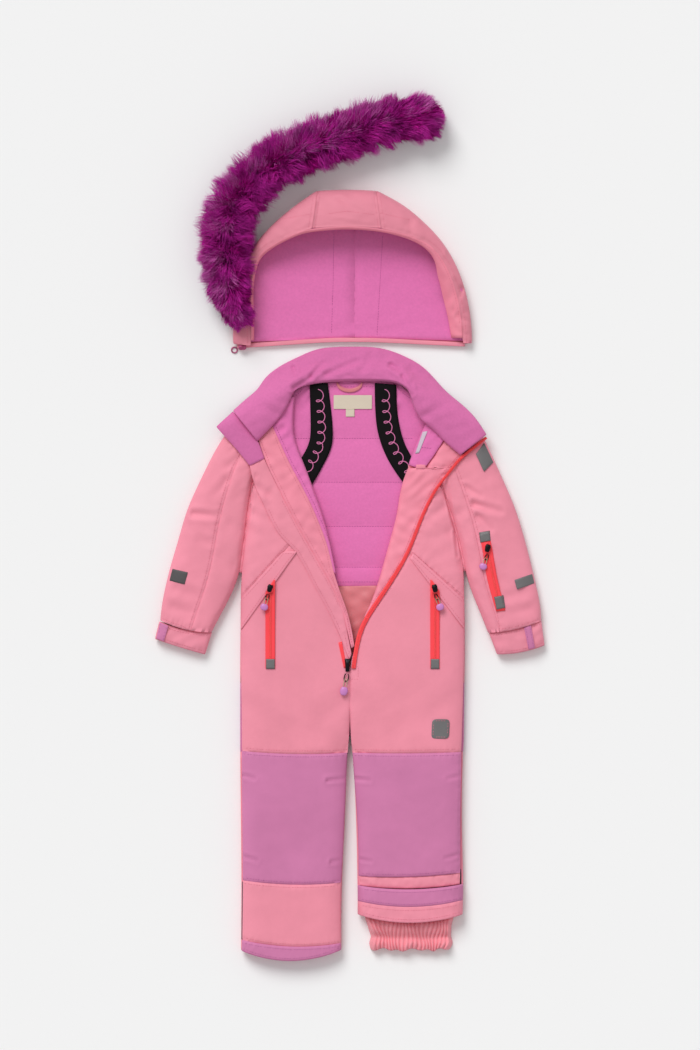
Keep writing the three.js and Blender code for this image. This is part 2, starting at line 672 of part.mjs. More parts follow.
// How far a point lies outside the shoulder seams and the back neck
function outsideShoulders(x, y) {
  const distance = shoulderSeams.map((s) => {
    const length = Math.hypot(s.toX - s.x, s.toY - s.y);
    return ((x - s.x) * (s.y - s.toY) + (y - s.y) * (s.toX - s.x)) / length;
  });
  return Math.max(...distance, Math.min(y - 539, 200 - Math.abs(x) * 1.8));
}
function collarUnder(x, y) {
  const lift = mix(liningTop + 1.6, shoulderLift, smooth((Math.abs(x) - 60) / 34));
  return lift * (1 - smooth((outsideShoulders(x, y) - 10) / 28));
}
const collar = [
  { lx: -185.6, ly: 494.4, rx: -147.4, ry: 447.6 },
  { lx: -166.4, ly: 512, rx: -131.2, ry: 464 },
  { lx: -147.2, ly: 528, rx: -113.6, ry: 483.2 },
  { lx: -134.4, ly: 547.2, rx: -102.4, ry: 499.2 },
  { lx: -112, ly: 564.8, rx: -95, ry: 517 },
  { lx: -83.2, ly: 579.2, rx: -84.8, ry: 531.2 },
  { lx: -48, ly: 593.6, rx: -51.2, ry: 540 },
  { lx: 0, ly: 596, rx: 0, ry: 543.4 },
  { lx: 44.8, ly: 594.7, rx: 48, ry: 543 },
  { lx: 80, ly: 584, rx: 75.2, ry: 540 },
  { lx: 112, ly: 567.2, rx: 95, ry: 526.4 },
  { lx: 132.8, ly: 547.2, rx: 101.6, ry: 504 },
  { lx: 153.6, ly: 524, rx: 113.6, ry: 481.6 },
  { lx: 180.8, ly: 501.6, rx: 134.4, ry: 464 },
  { lx: 200, ly: 481.6, rx: 153.6, ry: 444 },
  { lx: 216.4, ly: 456.8, rx: 176, ry: 425 },
];
const collarThick = 11;
const collarEdge = 4;
panel({
  name: "collar",
  colour: colours.fleece,
  sheet: between(collar),
  vs: even(30),
  us: [0, 0.05, 0.2, 0.45, 0.7, 0.94, 1],
  top: (x, y, v, u) => {
    const arch = crown(u, 0.4) * crown(1 - u, 0.3);
    return collarUnder(x, y) + collarEdge + (collarThick - collarEdge) * arch;
  },
  bottom: collarUnder,
});

// Storm flap: shell below and fleece where it is part of the collar
const stormFlap = [
  { lx: -1, ly: 99, rx: 2, ry: 106 },
  { lx: -10, ly: 120, rx: -4.6, ry: 140 },
  { lx: -19.2, ly: 144, rx: -10.6, ry: 169 },
  { lx: -36, ly: 178.2, rx: -20, ry: 197 },
  { lx: -57.6, ly: 216.8, rx: -38, ry: 231 },
  { lx: -84.8, ly: 268.8, rx: -62, ry: 272.6 },
  { lx: -113.6, ly: 297.6, rx: -82, ry: 308.4 },
  { lx: -134, ly: 338, rx: -105, ry: 352 },
  { lx: -152, ly: 376, rx: -125.6, ry: 391.6 },
  { lx: -159.7, ly: 407, rx: -137.8, ry: 418 },
];
const flapTop = [
  { lx: -160, ly: 408, rx: -138, ry: 418.8 },
  { lx: -182.4, ly: 436.2, rx: -148.6, ry: 445.8 },
  { lx: -197.5, ly: 452.5, rx: -167, ry: 469 },
  { lx: -212, ly: 468.8, rx: -187.2, ry: 492 },
];
const flapThick = 3.2;
const overSleeve = (x, y) => sleeveTop * smooth((-110 - x) / 20) * smooth((y - 300) / 40);
const overFronts = (x, y) => Math.max(frontFull(x, y), overSleeve(x, y));
panel({
  name: "storm_flap",
  colour: colours.shell,
  sheet: between(stormFlap),
  vs: even((stormFlap.length - 1) * 2),
  us: [0, 0.08, 0.5, 0.92, 1],
  top: (x, y, v, u) => overFronts(x, y) + overlay + 1.4 + (flapThick - 1.4) * crown(Math.min(u, 1 - u), 0.3),
  bottom: (x, y) => overFronts(x, y) + overlay,
});
panel({
  name: "storm_flap_top",
  colour: colours.fleece,
  sheet: between(flapTop),
  vs: even(9),
  us: [0, 0.08, 0.3, 0.7, 0.92, 1],
  top: (x, y, v, u) => collarUnder(x, y) + 1.6 + (flapThick - 0.4) * crown(Math.min(u, 1 - u), 0.3),
  bottom: collarUnder,
});

// Pocket flaps: slanted, free along their lower edge
const pocketFlaps = {
  right: [
    { lx: -174, ly: 145.6, rx: -85.4, ry: 269.4 },
    { lx: -174, ly: 195.2, rx: -106, ry: 270.4 },
  ],
  left: [
    { lx: 96.4, ly: 259, rx: 182, ry: 147.2 },
    { lx: 101, ly: 266.4, rx: 182, ry: 192 },
  ],
};
for (const [side, rows] of Object.entries(pocketFlaps)) {
  panel({
    name: "pocket_flap_" + side,
    colour: colours.shell,
    sheet: between(rows),
    vs: [0, 0.15, 0.5, 1],
    us: side === "right" ? roundedFirst : roundedLast,
    top: (x, y, v) => frontFull(x, y) + overlay + 1.2 + 1.2 * (1 - v),
    bottom: (x, y) => frontFull(x, y) + overlay,
  });
}

// Sleeves. The under sleeve lies flat and turns up round the inner edge, and the upper sleeve lies on it
const sleeves = {
  right: {
    seam: { head: 0.52, cuff: 0.6 },
    rows: [
      { lx: -197.2, ly: 458.8, rx: -151.4, ry: 394.9, sag: 0 },
      { lx: -217, ly: 428, rx: -158.8, ry: 374, sag: 0 },
      { lx: -235.2, ly: 390.4, rx: -162.8, ry: 347.2, sag: 0 },
      { lx: -250.4, ly: 358.4, rx: -165.6, ry: 323.2, sag: 0 },
      { lx: -262.4, ly: 329.6, rx: -168.8, ry: 297.6, sag: 0 },
      { lx: -272.8, ly: 291.2, rx: -173.6, ry: 264, sag: 0 },
      { lx: -284.8, ly: 252, rx: -177.6, ry: 234.4, sag: 0 },
      { lx: -292.8, ly: 220.8, rx: -188, ry: 204.8, sag: 1 },
      { lx: -300, ly: 187.2, rx: -205.6, ry: 172, sag: 3 },
      { lx: -302.7, ly: 160, rx: -221.6, ry: 140.8, sag: 5 },
    ],
  },
  left: {
    seam: { head: 0.68, cuff: 0.78 },
    rows: [
      { lx: 210.4, ly: 457, rx: 144.8, ry: 382.8, sag: 0 },
      { lx: 228.8, ly: 418.4, rx: 152.4, ry: 361, sag: 0 },
      { lx: 243.2, ly: 385.6, rx: 159.8, ry: 338, sag: 0 },
      { lx: 257.6, ly: 353.6, rx: 168, ry: 313.6, sag: 0 },
      { lx: 268.8, ly: 323.2, rx: 175.4, ry: 286.4, sag: 0 },
      { lx: 280.8, ly: 281.6, rx: 182, ry: 257.6, sag: 0 },
      { lx: 290.4, ly: 243.2, rx: 186.8, ry: 228.8, sag: 0 },
      { lx: 297.6, ly: 212.8, rx: 197, ry: 200, sag: 1 },
      { lx: 304, ly: 182.4, rx: 209.6, ry: 169.6, sag: 2 },
      { lx: 305, ly: 159.2, rx: 221, ry: 140.3, sag: 4 },
    ],
  },
};
const sleeveEdge = 0.26; // share of the width over which an edge rounds off
const seamAt = (side, v) => mix(sleeves[side].seam.head, sleeves[side].seam.cuff, v);
// u runs from the outer edge (0) to the inner edge (1)
const leastSleeve = 1.6;
function sleeveRound(v, u) {
  const head = mix(0.86, 1, smooth(v * 8)); // thinner where the flap and the zip cross it
  return crown(Math.min(u, 1 - u), sleeveEdge) * head;
}
function sleeveFull(v, u) {
  return sleeveMiddle + leastSleeve + (sleeveTop - sleeveMiddle - leastSleeve) * sleeveRound(v, u);
}
function sleeveHeight(side, v, u) {
  const { x, y } = between(sleeves[side].rows)(v, u);
  return sleeveFull(v, u) - creaseDepth(x, y) * sleeveRound(v, u);
}
// Section of the under sleeve: columns of u and height, from the outer edge round under it and back on top
function underSleeveRing(side, v) {
  const under = (u) => sideSeam * (1 - crown(Math.min(u, 1 - u), 0.12));
  const seam = seamAt(side, v) + 0.004;
  const flat = [0, 0.03, 0.1, 0.35, 0.65, 0.9, 0.97, 1].map((u) => [u, under(u)]);
  const columns = [1, 0.985, 0.95, 0.9, 0.84, mix(0.84, seam, 0.5), seam];
  const topEdge = columns.map((u) => [u, sleeveHeight(side, v, u)]);
  const fold = [
    [seam, sleeveMiddle + 0.6],
    [0.975, sleeveMiddle + 0.6],
    [0.975, sleeveMiddle],
    [0.7, sleeveMiddle],
    [0.35, sleeveMiddle],
    [0, sleeveMiddle],
  ];
  return [...flat, ...topEdge, ...fold];
}
for (const side of ["right", "left"]) {
  const sheet = between(sleeves[side].rows);
  const rings = even(11).map((v) =>
    underSleeveRing(side, v).map(([u, z]) => {
      const { x, y } = sheet(v, u);
      return { x, y, z };
    }),
  );
  addTube("sleeve_under_" + side, colours.shell, rings);
  const columns = [0, 0.03, 0.1, 0.2, 0.36, 0.52, 0.68, 0.84, 1];
  const grid = (height) =>
    even(11).map((v) => {
      const row = columns.map((share) => {
        const u = share * (seamAt(side, v) - 0.004);
        const { x, y } = sheet(v, u);
        return { x, y, z: height(v, u) };
      });
      return row;
    });
  closeGrids(
    "sleeve_upper_" + side,
    colours.shell,
    grid((v, u) => sleeveHeight(side, v, u)),
    grid(() => sleeveMiddle + 0.5),
  );
}

// Cuffs below the sleeves, each with a closing tab on top
const cuffs = {
  right: [
    { lx: -304.2, ly: 156.7, rx: -221.8, ry: 140.2, sag: 5 },
    { lx: -310.6, ly: 130.6, rx: -232.4, ry: 106.4, sag: 1 },
  ],
  left: [
    { lx: 304.8, ly: 158.5, rx: 223.2, ry: 139.6, sag: 4 },
    { lx: 310, ly: 120.4, rx: 235.8, ry: 106.4, sag: 4 },
  ],
};
const cuffTop = 19;
const cuffUnder = (u) => 6 * (1 - crown(Math.min(u, 1 - u), 0.12));
const cuffHeight = (u, v) => 11 + (cuffTop - 11) * crown(Math.min(u, 1 - u), 0.22) * crown(1.15 - v, 0.5);
const cuffTabs = { right: { from: 0.015, to: 0.165 }, left: { from: 0.2, to: 0.325 } };
for (const side of ["right", "left"]) {
  const sheet = between(cuffs[side]);
  panel({
    name: "cuff_" + side,
    colour: colours.shell,
    sheet,
    vs: even(5),
    us: rounded,
    top: (x, y, v, u) => cuffHeight(u, v),
    bottom: (x, y, v, u) => cuffUnder(u),
  });
  const { from, to } = cuffTabs[side];
  panel({
    name: "cuff_tab_" + side,
    colour: colours.mauve,
    sheet: (v, u) => sheet(mix(0.02, 0.97, v), mix(from, to, u)),
    vs: even(4),
    us: even(5),
    top: (x, y, v, u) => cuffHeight(mix(from, to, u), mix(0.02, 0.97, v)) + overlay + 1.6,
    bottom: (x, y, v, u) => cuffHeight(mix(from, to, u), mix(0.02, 0.97, v)) + overlay,
  });
}

// Patches sewn on the sleeves, in shares of the sleeve's length and width
const sleevePatches = [
  { name: "reflective_right", side: "right", from: 0.7, to: 0.765, outer: 0.04, inner: 0.265, tilt: 0.006 },
  { name: "reflective_left", side: "left", from: 0.7, to: 0.752, outer: 0.02, inner: 0.3, tilt: 0.02 },
  { name: "shoulder_patch", side: "left", from: 0.035, to: 0.125, outer: 0.03, inner: 0.235, tilt: 0.01 },
];
for (const { name, side, from, to, outer, inner, tilt } of sleevePatches) {
  const sheet = between(sleeves[side].rows);
  const place = (v, u) => [mix(from, to, v) + tilt * u, mix(outer, inner, u)];
  panel({
    name,
    colour: colours.grey,
    sheet: (v, u) => sheet(...place(v, u)),
    vs: even(2),
    us: even(6),
    top: (x, y, v, u) => sleeveFull(...place(v, u)) + overlay + 0.8,
    bottom: (x, y, v, u) => sleeveFull(...place(v, u)) + overlay,
    finish: { roughness: 0.35, metalness: 0.4 },
  });
}
const thighPatch = { x: 144.5, y: -13.5, width: 27, height: 30, corner: 5, lean: 1.5 };
panel({
  name: "thigh_patch",
  colour: colours.grey,
  sheet: (v, u) => {
    const nearEnd = Math.min(v, 1 - v) * thighPatch.height;
    const inset = thighPatch.corner * (1 - crown(nearEnd, thighPatch.corner));
    const half = thighPatch.width / 2 - inset;
    const x = thighPatch.x + mix(-half, half, u) + thighPatch.lean * (v - 0.5);
    return { x, y: thighPatch.y + thighPatch.height * (v - 0.5) };
  },
  vs: [0, 0.03, 0.09, 0.17, 0.5, 0.83, 0.91, 0.97, 1],
  us: even(2),
  top: (x, y) => frontFull(x, y) + overlay + 0.8,
  bottom: (x, y) => frontFull(x, y) + overlay,
  finish: { roughness: 0.35, metalness: 0.4 },
});

// Zips. Each is a tape with its slider on it: the slider is the raised block
const sliderSize = { width: 7, length: 13, height: 4.4 };
function sliderLift(across, lengthways) {
  const inside = Math.abs(across) <= sliderSize.width / 2 && Math.abs(lengthways) <= sliderSize.length / 2;
  return inside ? sliderSize.height : 0;
}
// Break points of a strip of `length` where the slider's two ends fall, with a narrow ramp at each
function sliderBreaks(middle, size, length) {
  const half = size / 2 / length;
  const ramp = 0.4 / length;
  return [middle - half - ramp, middle - half, middle, middle + half, middle + half + ramp];
}
const tapeThick = 1.3;
// The pocket zips rise over the pocket flaps
const flapStep = 3.6;
const overFlap = (y) => flapStep * smooth((y - 150) / 60);
const pocketZips = {
  right: { x: -127.2, top: 224, bottom: 83.2, width: 14.4, slider: 211 },
  left: { x: 135.6, top: 224, bottom: 83.2, width: 13.8, slider: 211 },
};
for (const [side, zip] of Object.entries(pocketZips)) {
  const length = zip.top - zip.bottom;
  const sliderV = (zip.slider - zip.bottom) / length;
  const vs = [0, 0.25, 0.5, 0.72, ...sliderBreaks(sliderV, sliderSize.length, length), 1];
  panel({
    name: "pocket_zip_" + side,
    colour: colours.neon,
    sheet: (v, u) => ({ x: zip.x + (u - 0.5) * zip.width, y: mix(zip.bottom, zip.top, v) }),
    vs,
    us: [0, ...sliderBreaks(0.5, sliderSize.width, zip.width), 1],
    top: (x, y) => {
      const lift = sliderLift(x - zip.x, y - zip.slider);
      return frontFull(x, y) + overFlap(y) + overlay + tapeThick + lift;
    },
    bottom: (x, y) => frontFull(x, y) + overFlap(y) + overlay,
  });
}

// Sleeve zip, in shares of the left sleeve's length and width
const sleeveZip = { from: 0.456, to: 0.878, middle: 0.628, drift: 0.066, half: 0.072, slider: 0.529 };
const sleeveZipPlace = (v, u) => [
  mix(sleeveZip.from, sleeveZip.to, v),
  sleeveZip.middle + sleeveZip.drift * (v - 0.5) + mix(-sleeveZip.half, sleeveZip.half, u),
];
const sleeveZipLength = 122;
const sleeveSliderV = (sleeveZip.slider - sleeveZip.from) / (sleeveZip.to - sleeveZip.from);
const sleeveTapeWidth = 14.4;
panel({
  name: "sleeve_zip",
  colour: colours.neon,
  sheet: (v, u) => between(sleeves.left.rows)(...sleeveZipPlace(v, u)),
  vs: [0, ...sliderBreaks(sleeveSliderV, sliderSize.length, sleeveZipLength), 0.4, 0.55, 0.7, 0.85, 1],
  us: [0, ...sliderBreaks(0.5, sliderSize.width, sleeveTapeWidth), 1],
  top: (x, y, v, u) => {
    const lift = sliderLift((u - 0.5) * sleeveTapeWidth, (v - sleeveSliderV) * sleeveZipLength);
    return sleeveFull(...sleeveZipPlace(v, u)) + overlay + tapeThick + lift;
  },
  bottom: (x, y, v, u) => sleeveFull(...sleeveZipPlace(v, u)) + overlay,
});

// Main zip, along the left front's edge from the collar's tip to its slider
const mainZip = [
  { lx: 1.6, ly: 83, rx: 9.4, ry: 82 },
  { lx: 4.6, ly: 105, rx: 12, ry: 102 },
  { lx: 10.8, ly: 138, rx: 18.4, ry: 134 },
  { lx: 24.4, ly: 168, rx: 31, ry: 163 },
  { lx: 58.8, ly: 219, rx: 65, ry: 214.4 },
  { lx: 90, ly: 269.8, rx: 95.4, ry: 266.6 },
  { lx: 111.6, ly: 325.4, rx: 116.8, ry: 322.4 },
  { lx: 133.4, ly: 368.6, rx: 137.8, ry: 365 },
  { lx: 155, ly: 396.4, rx: 158.8, ry: 392.6 },
  { lx: 176.4, ly: 422.6, rx: 180, ry: 418.2 },
  { lx: 199, ly: 440, rx: 202.4, ry: 435.6 },
  { lx: 216.4, ly: 454, rx: 220, ry: 450 },
];
const overZip = (x, y) => mix(frontFull(x, y), shoulderLift, smooth((y - 340) / 40));
panel({
  name: "main_zip",
  colour: colours.neon,
  sheet: between(mainZip),
  vs: even(22),
  us: [0, 0.5, 1],
  top: (x, y, v, u) => overZip(x, y) + overlay + 1.2 + (u === 0.5 ? 1.2 : 0),
  bottom: (x, y) => overZip(x, y) + overlay,
});
const mainSlider = { x: -4, top: 98.4, bottom: 78, half: 4.6, height: 5 };
panel({
  name: "main_slider",
  colour: colours.black,
  sheet: (v, u) => ({
    x: mainSlider.x + (u - 0.5) * 2 * mainSlider.half * mix(0.7, 1, v),
    y: mix(mainSlider.bottom, mainSlider.top, v),
  }),
  vs: even(4),
  us: even(4),
  top: (x, y, v, u) => {
    const rounding = 3 * (1 - crown(Math.min(u, 1 - u, v, 1 - v), 0.3));
    return frontFull(x, y) + overlay + mainSlider.height - rounding;
  },
  bottom: (x, y) => frontFull(x, y) + overlay,
});

// Pulls: a tab on the slider's bridge, a cord loop and a moulded end, hinged on the slider
const pullSections = [
  { s: 0, half: 1.6, thick: 1.6 },
  { s: 0.06, half: 2.4, thick: 1.6 },
  { s: 0.3, half: 2.2, thick: 1.6 },
  { s: 0.36, half: 1.5, thick: 2.2 },
  { s: 0.58, half: 1.4, thick: 2.4 },
  { s: 0.62, half: 3, thick: 3.6 },
  { s: 0.8, half: 5, thick: 4.6 },
  { s: 0.95, half: 4.4, thick: 4 },
  { s: 1, half: 2, thick: 2.4 },
];
function addPull(name, from, to, under) {
  const length = Math.hypot(to.x - from.x, to.y - from.y);
  const [alongX, alongY] = [(to.x - from.x) / length, (to.y - from.y) / length];
  const sides = 8;
  const rings = pullSections.map(({ s, half, thick }) => {
    const x = mix(from.x, to.x, s);
    const y = mix(from.y, to.y, s);
    const base = under(x, y);
    return Array.from({ length: sides }, (_, i) => {
      const angle = ((i + 0.5) / sides) * 2 * Math.PI;
      const off = half * Math.cos(angle);
      return { x: x - alongY * off, y: y + alongX * off, z: base + (thick / 2) * (1 + Math.sin(angle)) };
    });
  });
  // Rings are cut across the pull, so each end is flat in its own plane
  addTube(name, colours.lilac, rings);
}
const mainPull = { from: { x: -4.2, y: 77.4 }, to: { x: -11, y: 40 } };
const pocketPulls = {
  right: { from: { x: -130, y: 203.6 }, to: { x: -138.4, y: 176 } },
  left: { from: { x: 135.6, y: 203.6 }, to: { x: 145.6, y: 176 } },
};
const sleevePull = { from: { x: 220.3, y: 266.7 }, to: { x: 210.8, y: 241 } };
const pullRest = 2.6;
addPull("main_pull", mainPull.from, mainPull.to, (x, y) => frontFull(x, y) + pullRest);
for (const [side, pull] of Object.entries(pocketPulls)) {
  addPull("pocket_pull_" + side, pull.from, pull.to, (x, y) => frontFull(x, y) + flapStep + pullRest);
}
addPull("sleeve_pull", sleevePull.from, sleevePull.to, () => sleeveTop + pullRest - 0.2);

// Braces of wide webbing inside the back, which pass under the front edges
const webbings = {
  right: [
    { lx: -64, ly: 538, rx: -36, ry: 538.4 },
    { lx: -63, ly: 500, rx: -31, ry: 499 },
    { lx: -62.4, ly: 470, rx: -28, ry: 464 },
    { lx: -64, ly: 446, rx: -30, ry: 436 },
    { lx: -74, ly: 424, rx: -42, ry: 410 },
    { lx: -88, ly: 404, rx: -57.6, ry: 382 },
    { lx: -100, ly: 388, rx: -72, ry: 362 },
  ],
  left: [
    { lx: 40, ly: 538.4, rx: 73.6, ry: 536 },
    { lx: 40.6, ly: 500, rx: 74.4, ry: 500 },
    { lx: 44, ly: 464, rx: 79, ry: 468 },
    { lx: 53, ly: 434, rx: 86, ry: 444 },
    { lx: 66, ly: 408, rx: 96, ry: 424 },
    { lx: 84, ly: 382, rx: 110, ry: 402 },
    { lx: 98, ly: 366, rx: 124, ry: 386 },
  ],
};
for (const [side, rows] of Object.entries(webbings)) {
  panel({
    name: "webbing_" + side,
    colour: colours.black,
    sheet: between([...rows].reverse()),
    vs: even(12),
    us: [0, 0.5, 1],
    top: () => liningTop + seamGap + webbingThick,
    bottom: () => liningTop + seamGap,
  });
}
const neckLabel = { left: -25.6, right: 34.4, top: 519, bottom: 498 };
panel({
  name: "neck_label",
  colour: colours.cream,
  sheet: (v, u) => ({
    x: mix(neckLabel.left, neckLabel.right, u),
    y: mix(neckLabel.bottom, neckLabel.top, v),
  }),
  vs: even(2),
  us: even(4),
  top: () => liningTop + seamGap + 0.8,
  bottom: () => liningTop + seamGap,
});
const hangerLoop = { x: -0.8, half: 20, y: 540, drop: 11, width: 5 };
panel({
  name: "hanger_loop",
  colour: colours.satin,
  sheet: (v, u) => {
    const bow = Math.sin(Math.PI * u) ** 0.6;
    return {
      x: hangerLoop.x + hangerLoop.half * (2 * u - 1),
      y: hangerLoop.y - hangerLoop.drop * bow - hangerLoop.width * v,
    };
  },
  vs: [0, 1],
  us: [0, 0.06, 0.15, 0.3, 0.5, 0.7, 0.85, 0.94, 1],
  top: (x, y) => quiltHeight(Math.min(y, 538)) + 0.5 + 1.6,
  bottom: (x, y) => quiltHeight(Math.min(y, 538)) + 0.5,
});

// Hood, lying on its back, brim up. Each row gives the brim's edge (bx, by, bz) and the outermost line
// (ox, oy) of one section from the right corner of the neck over the crown to the left corner.
const hoodSections = [
  { bx: -160, by: 600, bz: 17, ox: -186, oy: 603 },
  { bx: -160, by: 640, bz: 20, ox: -186, oy: 640 },
  { bx: -160.5, by: 690, bz: 22, ox: -176, oy: 704 },
  { bx: -153, by: 733, bz: 28, ox: -162, oy: 742 },
  { bx: -138, by: 752, bz: 36, ox: -147, oy: 765 },
  { bx: -112, by: 768, bz: 44, ox: -121.9, oy: 793.6 },
  { bx: -84, by: 780, bz: 50, ox: -83.2, oy: 825 },
  { bx: -59.5, by: 786, bz: 53, ox: -50.4, oy: 845.8 },
  { bx: -4, by: 790.4, bz: 56, ox: -4.8, oy: 848 },
  { bx: 48.5, by: 786, bz: 53, ox: 40.6, oy: 845.8 },
  { bx: 78, by: 780, bz: 50, ox: 74, oy: 829 },
  { bx: 101, by: 773.5, bz: 46, ox: 99.2, oy: 812 },
  { bx: 128, by: 760, bz: 41, ox: 130, oy: 783 },
  { bx: 148, by: 739, bz: 36, ox: 156.5, oy: 752 },
  { bx: 164, by: 707, bz: 32, ox: 177.3, oy: 707.8 },
  { bx: 174, by: 672, bz: 27, ox: 187.5, oy: 670 },
  { bx: 180, by: 638, bz: 22, ox: 193, oy: 635.2 },
  { bx: 182, by: 604, bz: 17, ox: 194, oy: 604 },
];
const hoodSeams = { right: 7 / 17, left: 9 / 17 };
const hoodBack = { right: -27, left: 42, top: 800 };
// Neck edge, from the wearer's right to the left
const neckEdge = [
  { x: -174.1, y: 601.6 },
  { x: hoodBack.right, y: 611.5 },
  { x: hoodBack.left, y: 611 },
  { x: 182, y: 604 },
];
function neckAt(x) {
  let i = 1;
  while (i < neckEdge.length - 1 && x > neckEdge[i].x) i++;
  const [a, b] = [neckEdge[i - 1], neckEdge[i]];
  return mix(a.y, b.y, clamp01((x - a.x) / (b.x - a.x)));
}
const hoodInset = 12; // how far the floor contact lies inside the outermost line
const overTop = [0, 22.5, 45, 67.5, 90, 120, 150, 180]; // degrees round the section's bend
const alongFloor = [0.5, 1];
// Points of one section from the brim round, and on over the floor by way of the given places
function hoodSection(t, ...places) {
  const row = Object.fromEntries(["bx", "by", "bz", "ox", "oy"].map((k) => [k, along(hoodSections, k, t)]));
  const width = Math.hypot(row.ox - row.bx, row.oy - row.by);
  const outward = { x: (row.ox - row.bx) / width, y: (row.oy - row.by) / width };
  const outerZ = row.bz * 0.45;
  const points = overTop.map((degrees) => {
    const angle = THREE.MathUtils.degToRad(degrees);
    const inset = (degrees <= 90 ? width : hoodInset) * (1 - Math.sin(angle));
    const z = degrees <= 90 ? mix(outerZ, row.bz, Math.cos(angle) ** 0.8) : outerZ * (1 + Math.cos(angle));
    return { x: row.ox - outward.x * inset, y: row.oy - outward.y * inset, z: Math.max(0, z) };
  });
  for (const place of places) {
    const last = points[points.length - 1];
    for (const share of alongFloor) {
      points.push({ x: mix(last.x, place.x, share), y: mix(last.y, place.y, share), z: 0 });
    }
  }
  return points;
}
// Points offset inwards by `depth`: along the surface's own normals, or up where the panel lies on the floor
function offsetGrid(grid, depth, turn, firstColumn = 0) {
  const vector = (p) => new THREE.Vector3(p.x, p.y, p.z);
  return grid.map((row, i) =>
    row.map((p, j) => {
      if (j + firstColumn >= overTop.length - 1) return { x: p.x, y: p.y, z: depth };
      const nextRow = grid[Math.min(i + 1, grid.length - 1)];
      const across = vector(nextRow[j]).sub(vector(grid[Math.max(i - 1, 0)][j]));
      const round = vector(row[Math.min(j + 1, row.length - 1)]).sub(vector(row[Math.max(j - 1, 0)]));
      const moved = vector(p).addScaledVector(round.cross(across).normalize(), turn * depth);
      return { x: moved.x, y: moved.y, z: Math.max(depth, moved.z) };
    }),
  );
}
const centreLine = (side, share) => ({
  x: hoodBack[side],
  y: mix(neckAt(hoodBack[side]), hoodBack.top, share),
});
const seamHalf = 0.004;
const hoodRows = {
  right: even(8).map((k) => ({ k, t: mix(0, hoodSeams.right - seamHalf, k) })),
  centre: even(2).map((k) => ({ k, t: mix(hoodSeams.right, hoodSeams.left, k) })),
  left: even(9).map((k) => ({ k, t: mix(1, hoodSeams.left + seamHalf, k) })),
};
const hoodPanels = [
  {
    name: "hood_side_right",
    turn: 1,
    grid: hoodRows.right.map(({ k, t }) => hoodSection(t, centreLine("right", k ** 1.2))),
  },
  {
    name: "hood_centre",
    turn: 1,
    grid: hoodRows.centre.map(({ k, t }) => {
      const x = mix(hoodBack.right + 0.8, hoodBack.left - 0.8, k);
      return hoodSection(t, { x, y: hoodBack.top + 0.8 }, { x, y: neckAt(x) });
    }),
  },
  {
    name: "hood_side_left",
    turn: -1,
    grid: hoodRows.left.map(({ k, t }) => hoodSection(t, centreLine("left", k ** 1.2))),
  },
];
for (const { name, turn, grid } of hoodPanels) {
  closeGrids(name, colours.shell, grid, offsetGrid(grid, hoodWall, turn));
}

// Fleece inside the hood, from below the brim's facing to the middle of the back, where its two halves meet
const liningStart = 2; // column of the section at which it starts
const liningMiddle = { x: 7.5, half: 0.4 };
const liningRows = [
  ...hoodRows.right.map(({ k, t }) => ({
    t,
    x: liningMiddle.x - liningMiddle.half,
    share: k ** 1.2 * 0.96,
  })),
  ...hoodRows.centre.map(({ k, t }) => ({
    t,
    x: liningMiddle.x + liningMiddle.half * (2 * k - 1),
    share: 0.97 + 0.02 * (1 - Math.abs(2 * k - 1)),
  })),
  ...hoodRows.left
    .map(({ k, t }) => ({ t, x: liningMiddle.x + liningMiddle.half, share: k ** 1.2 * 0.96 }))
    .reverse(),
];
const liningEnd = 0.006;
const liningGrid = liningRows.map(({ t, x, share }) => {
  const place = { x, y: mix(neckAt(x) + 1.5, hoodBack.top, share) };
  return hoodSection(Math.min(1 - liningEnd, Math.max(liningEnd, t)), place).slice(liningStart);
});
const liningOuter = offsetGrid(liningGrid, hoodWall + seamGap, 1, liningStart);
const liningInner = offsetGrid(liningGrid, hoodWall + seamGap + liningWall, 1, liningStart);
closeGrids("hood_lining", colours.fleece, liningOuter, liningInner);

// Facing along the brim, turned in and wider on the wearer's left
const facingWidths = [4, 4, 4, 4, 4, 4, 4, 4, 4, 4, 5, 6, 9, 15, 20, 23, 21, 16].map((width) => ({ width }));
const facingGap = 2.2; // clear of the brim's inner edge
const facingRows = even(26).map((share) => {
  const t = mix(0.012, 0.988, share);
  const row = Object.fromEntries(["bx", "by", "bz", "ox", "oy"].map((k) => [k, along(hoodSections, k, t)]));
  const length = Math.hypot(row.ox - row.bx, row.oy - row.by);
  const inward = { x: (row.bx - row.ox) / length, y: (row.by - row.oy) / length };
  const width = along(facingWidths, "width", t);
  return even(3).map((part) => {
    const reach = facingGap + width * part;
    const fall = 0.4 + (2 + width * 0.45) * part ** 2;
    return { x: row.bx + inward.x * reach, y: row.by + inward.y * reach, z: row.bz - fall };
  });
});
const lowered = (grid, depth) => grid.map((row) => row.map((p) => ({ ...p, z: p.z - depth })));
closeGrids("hood_facing", colours.shell, facingRows, lowered(facingRows, 1.8));

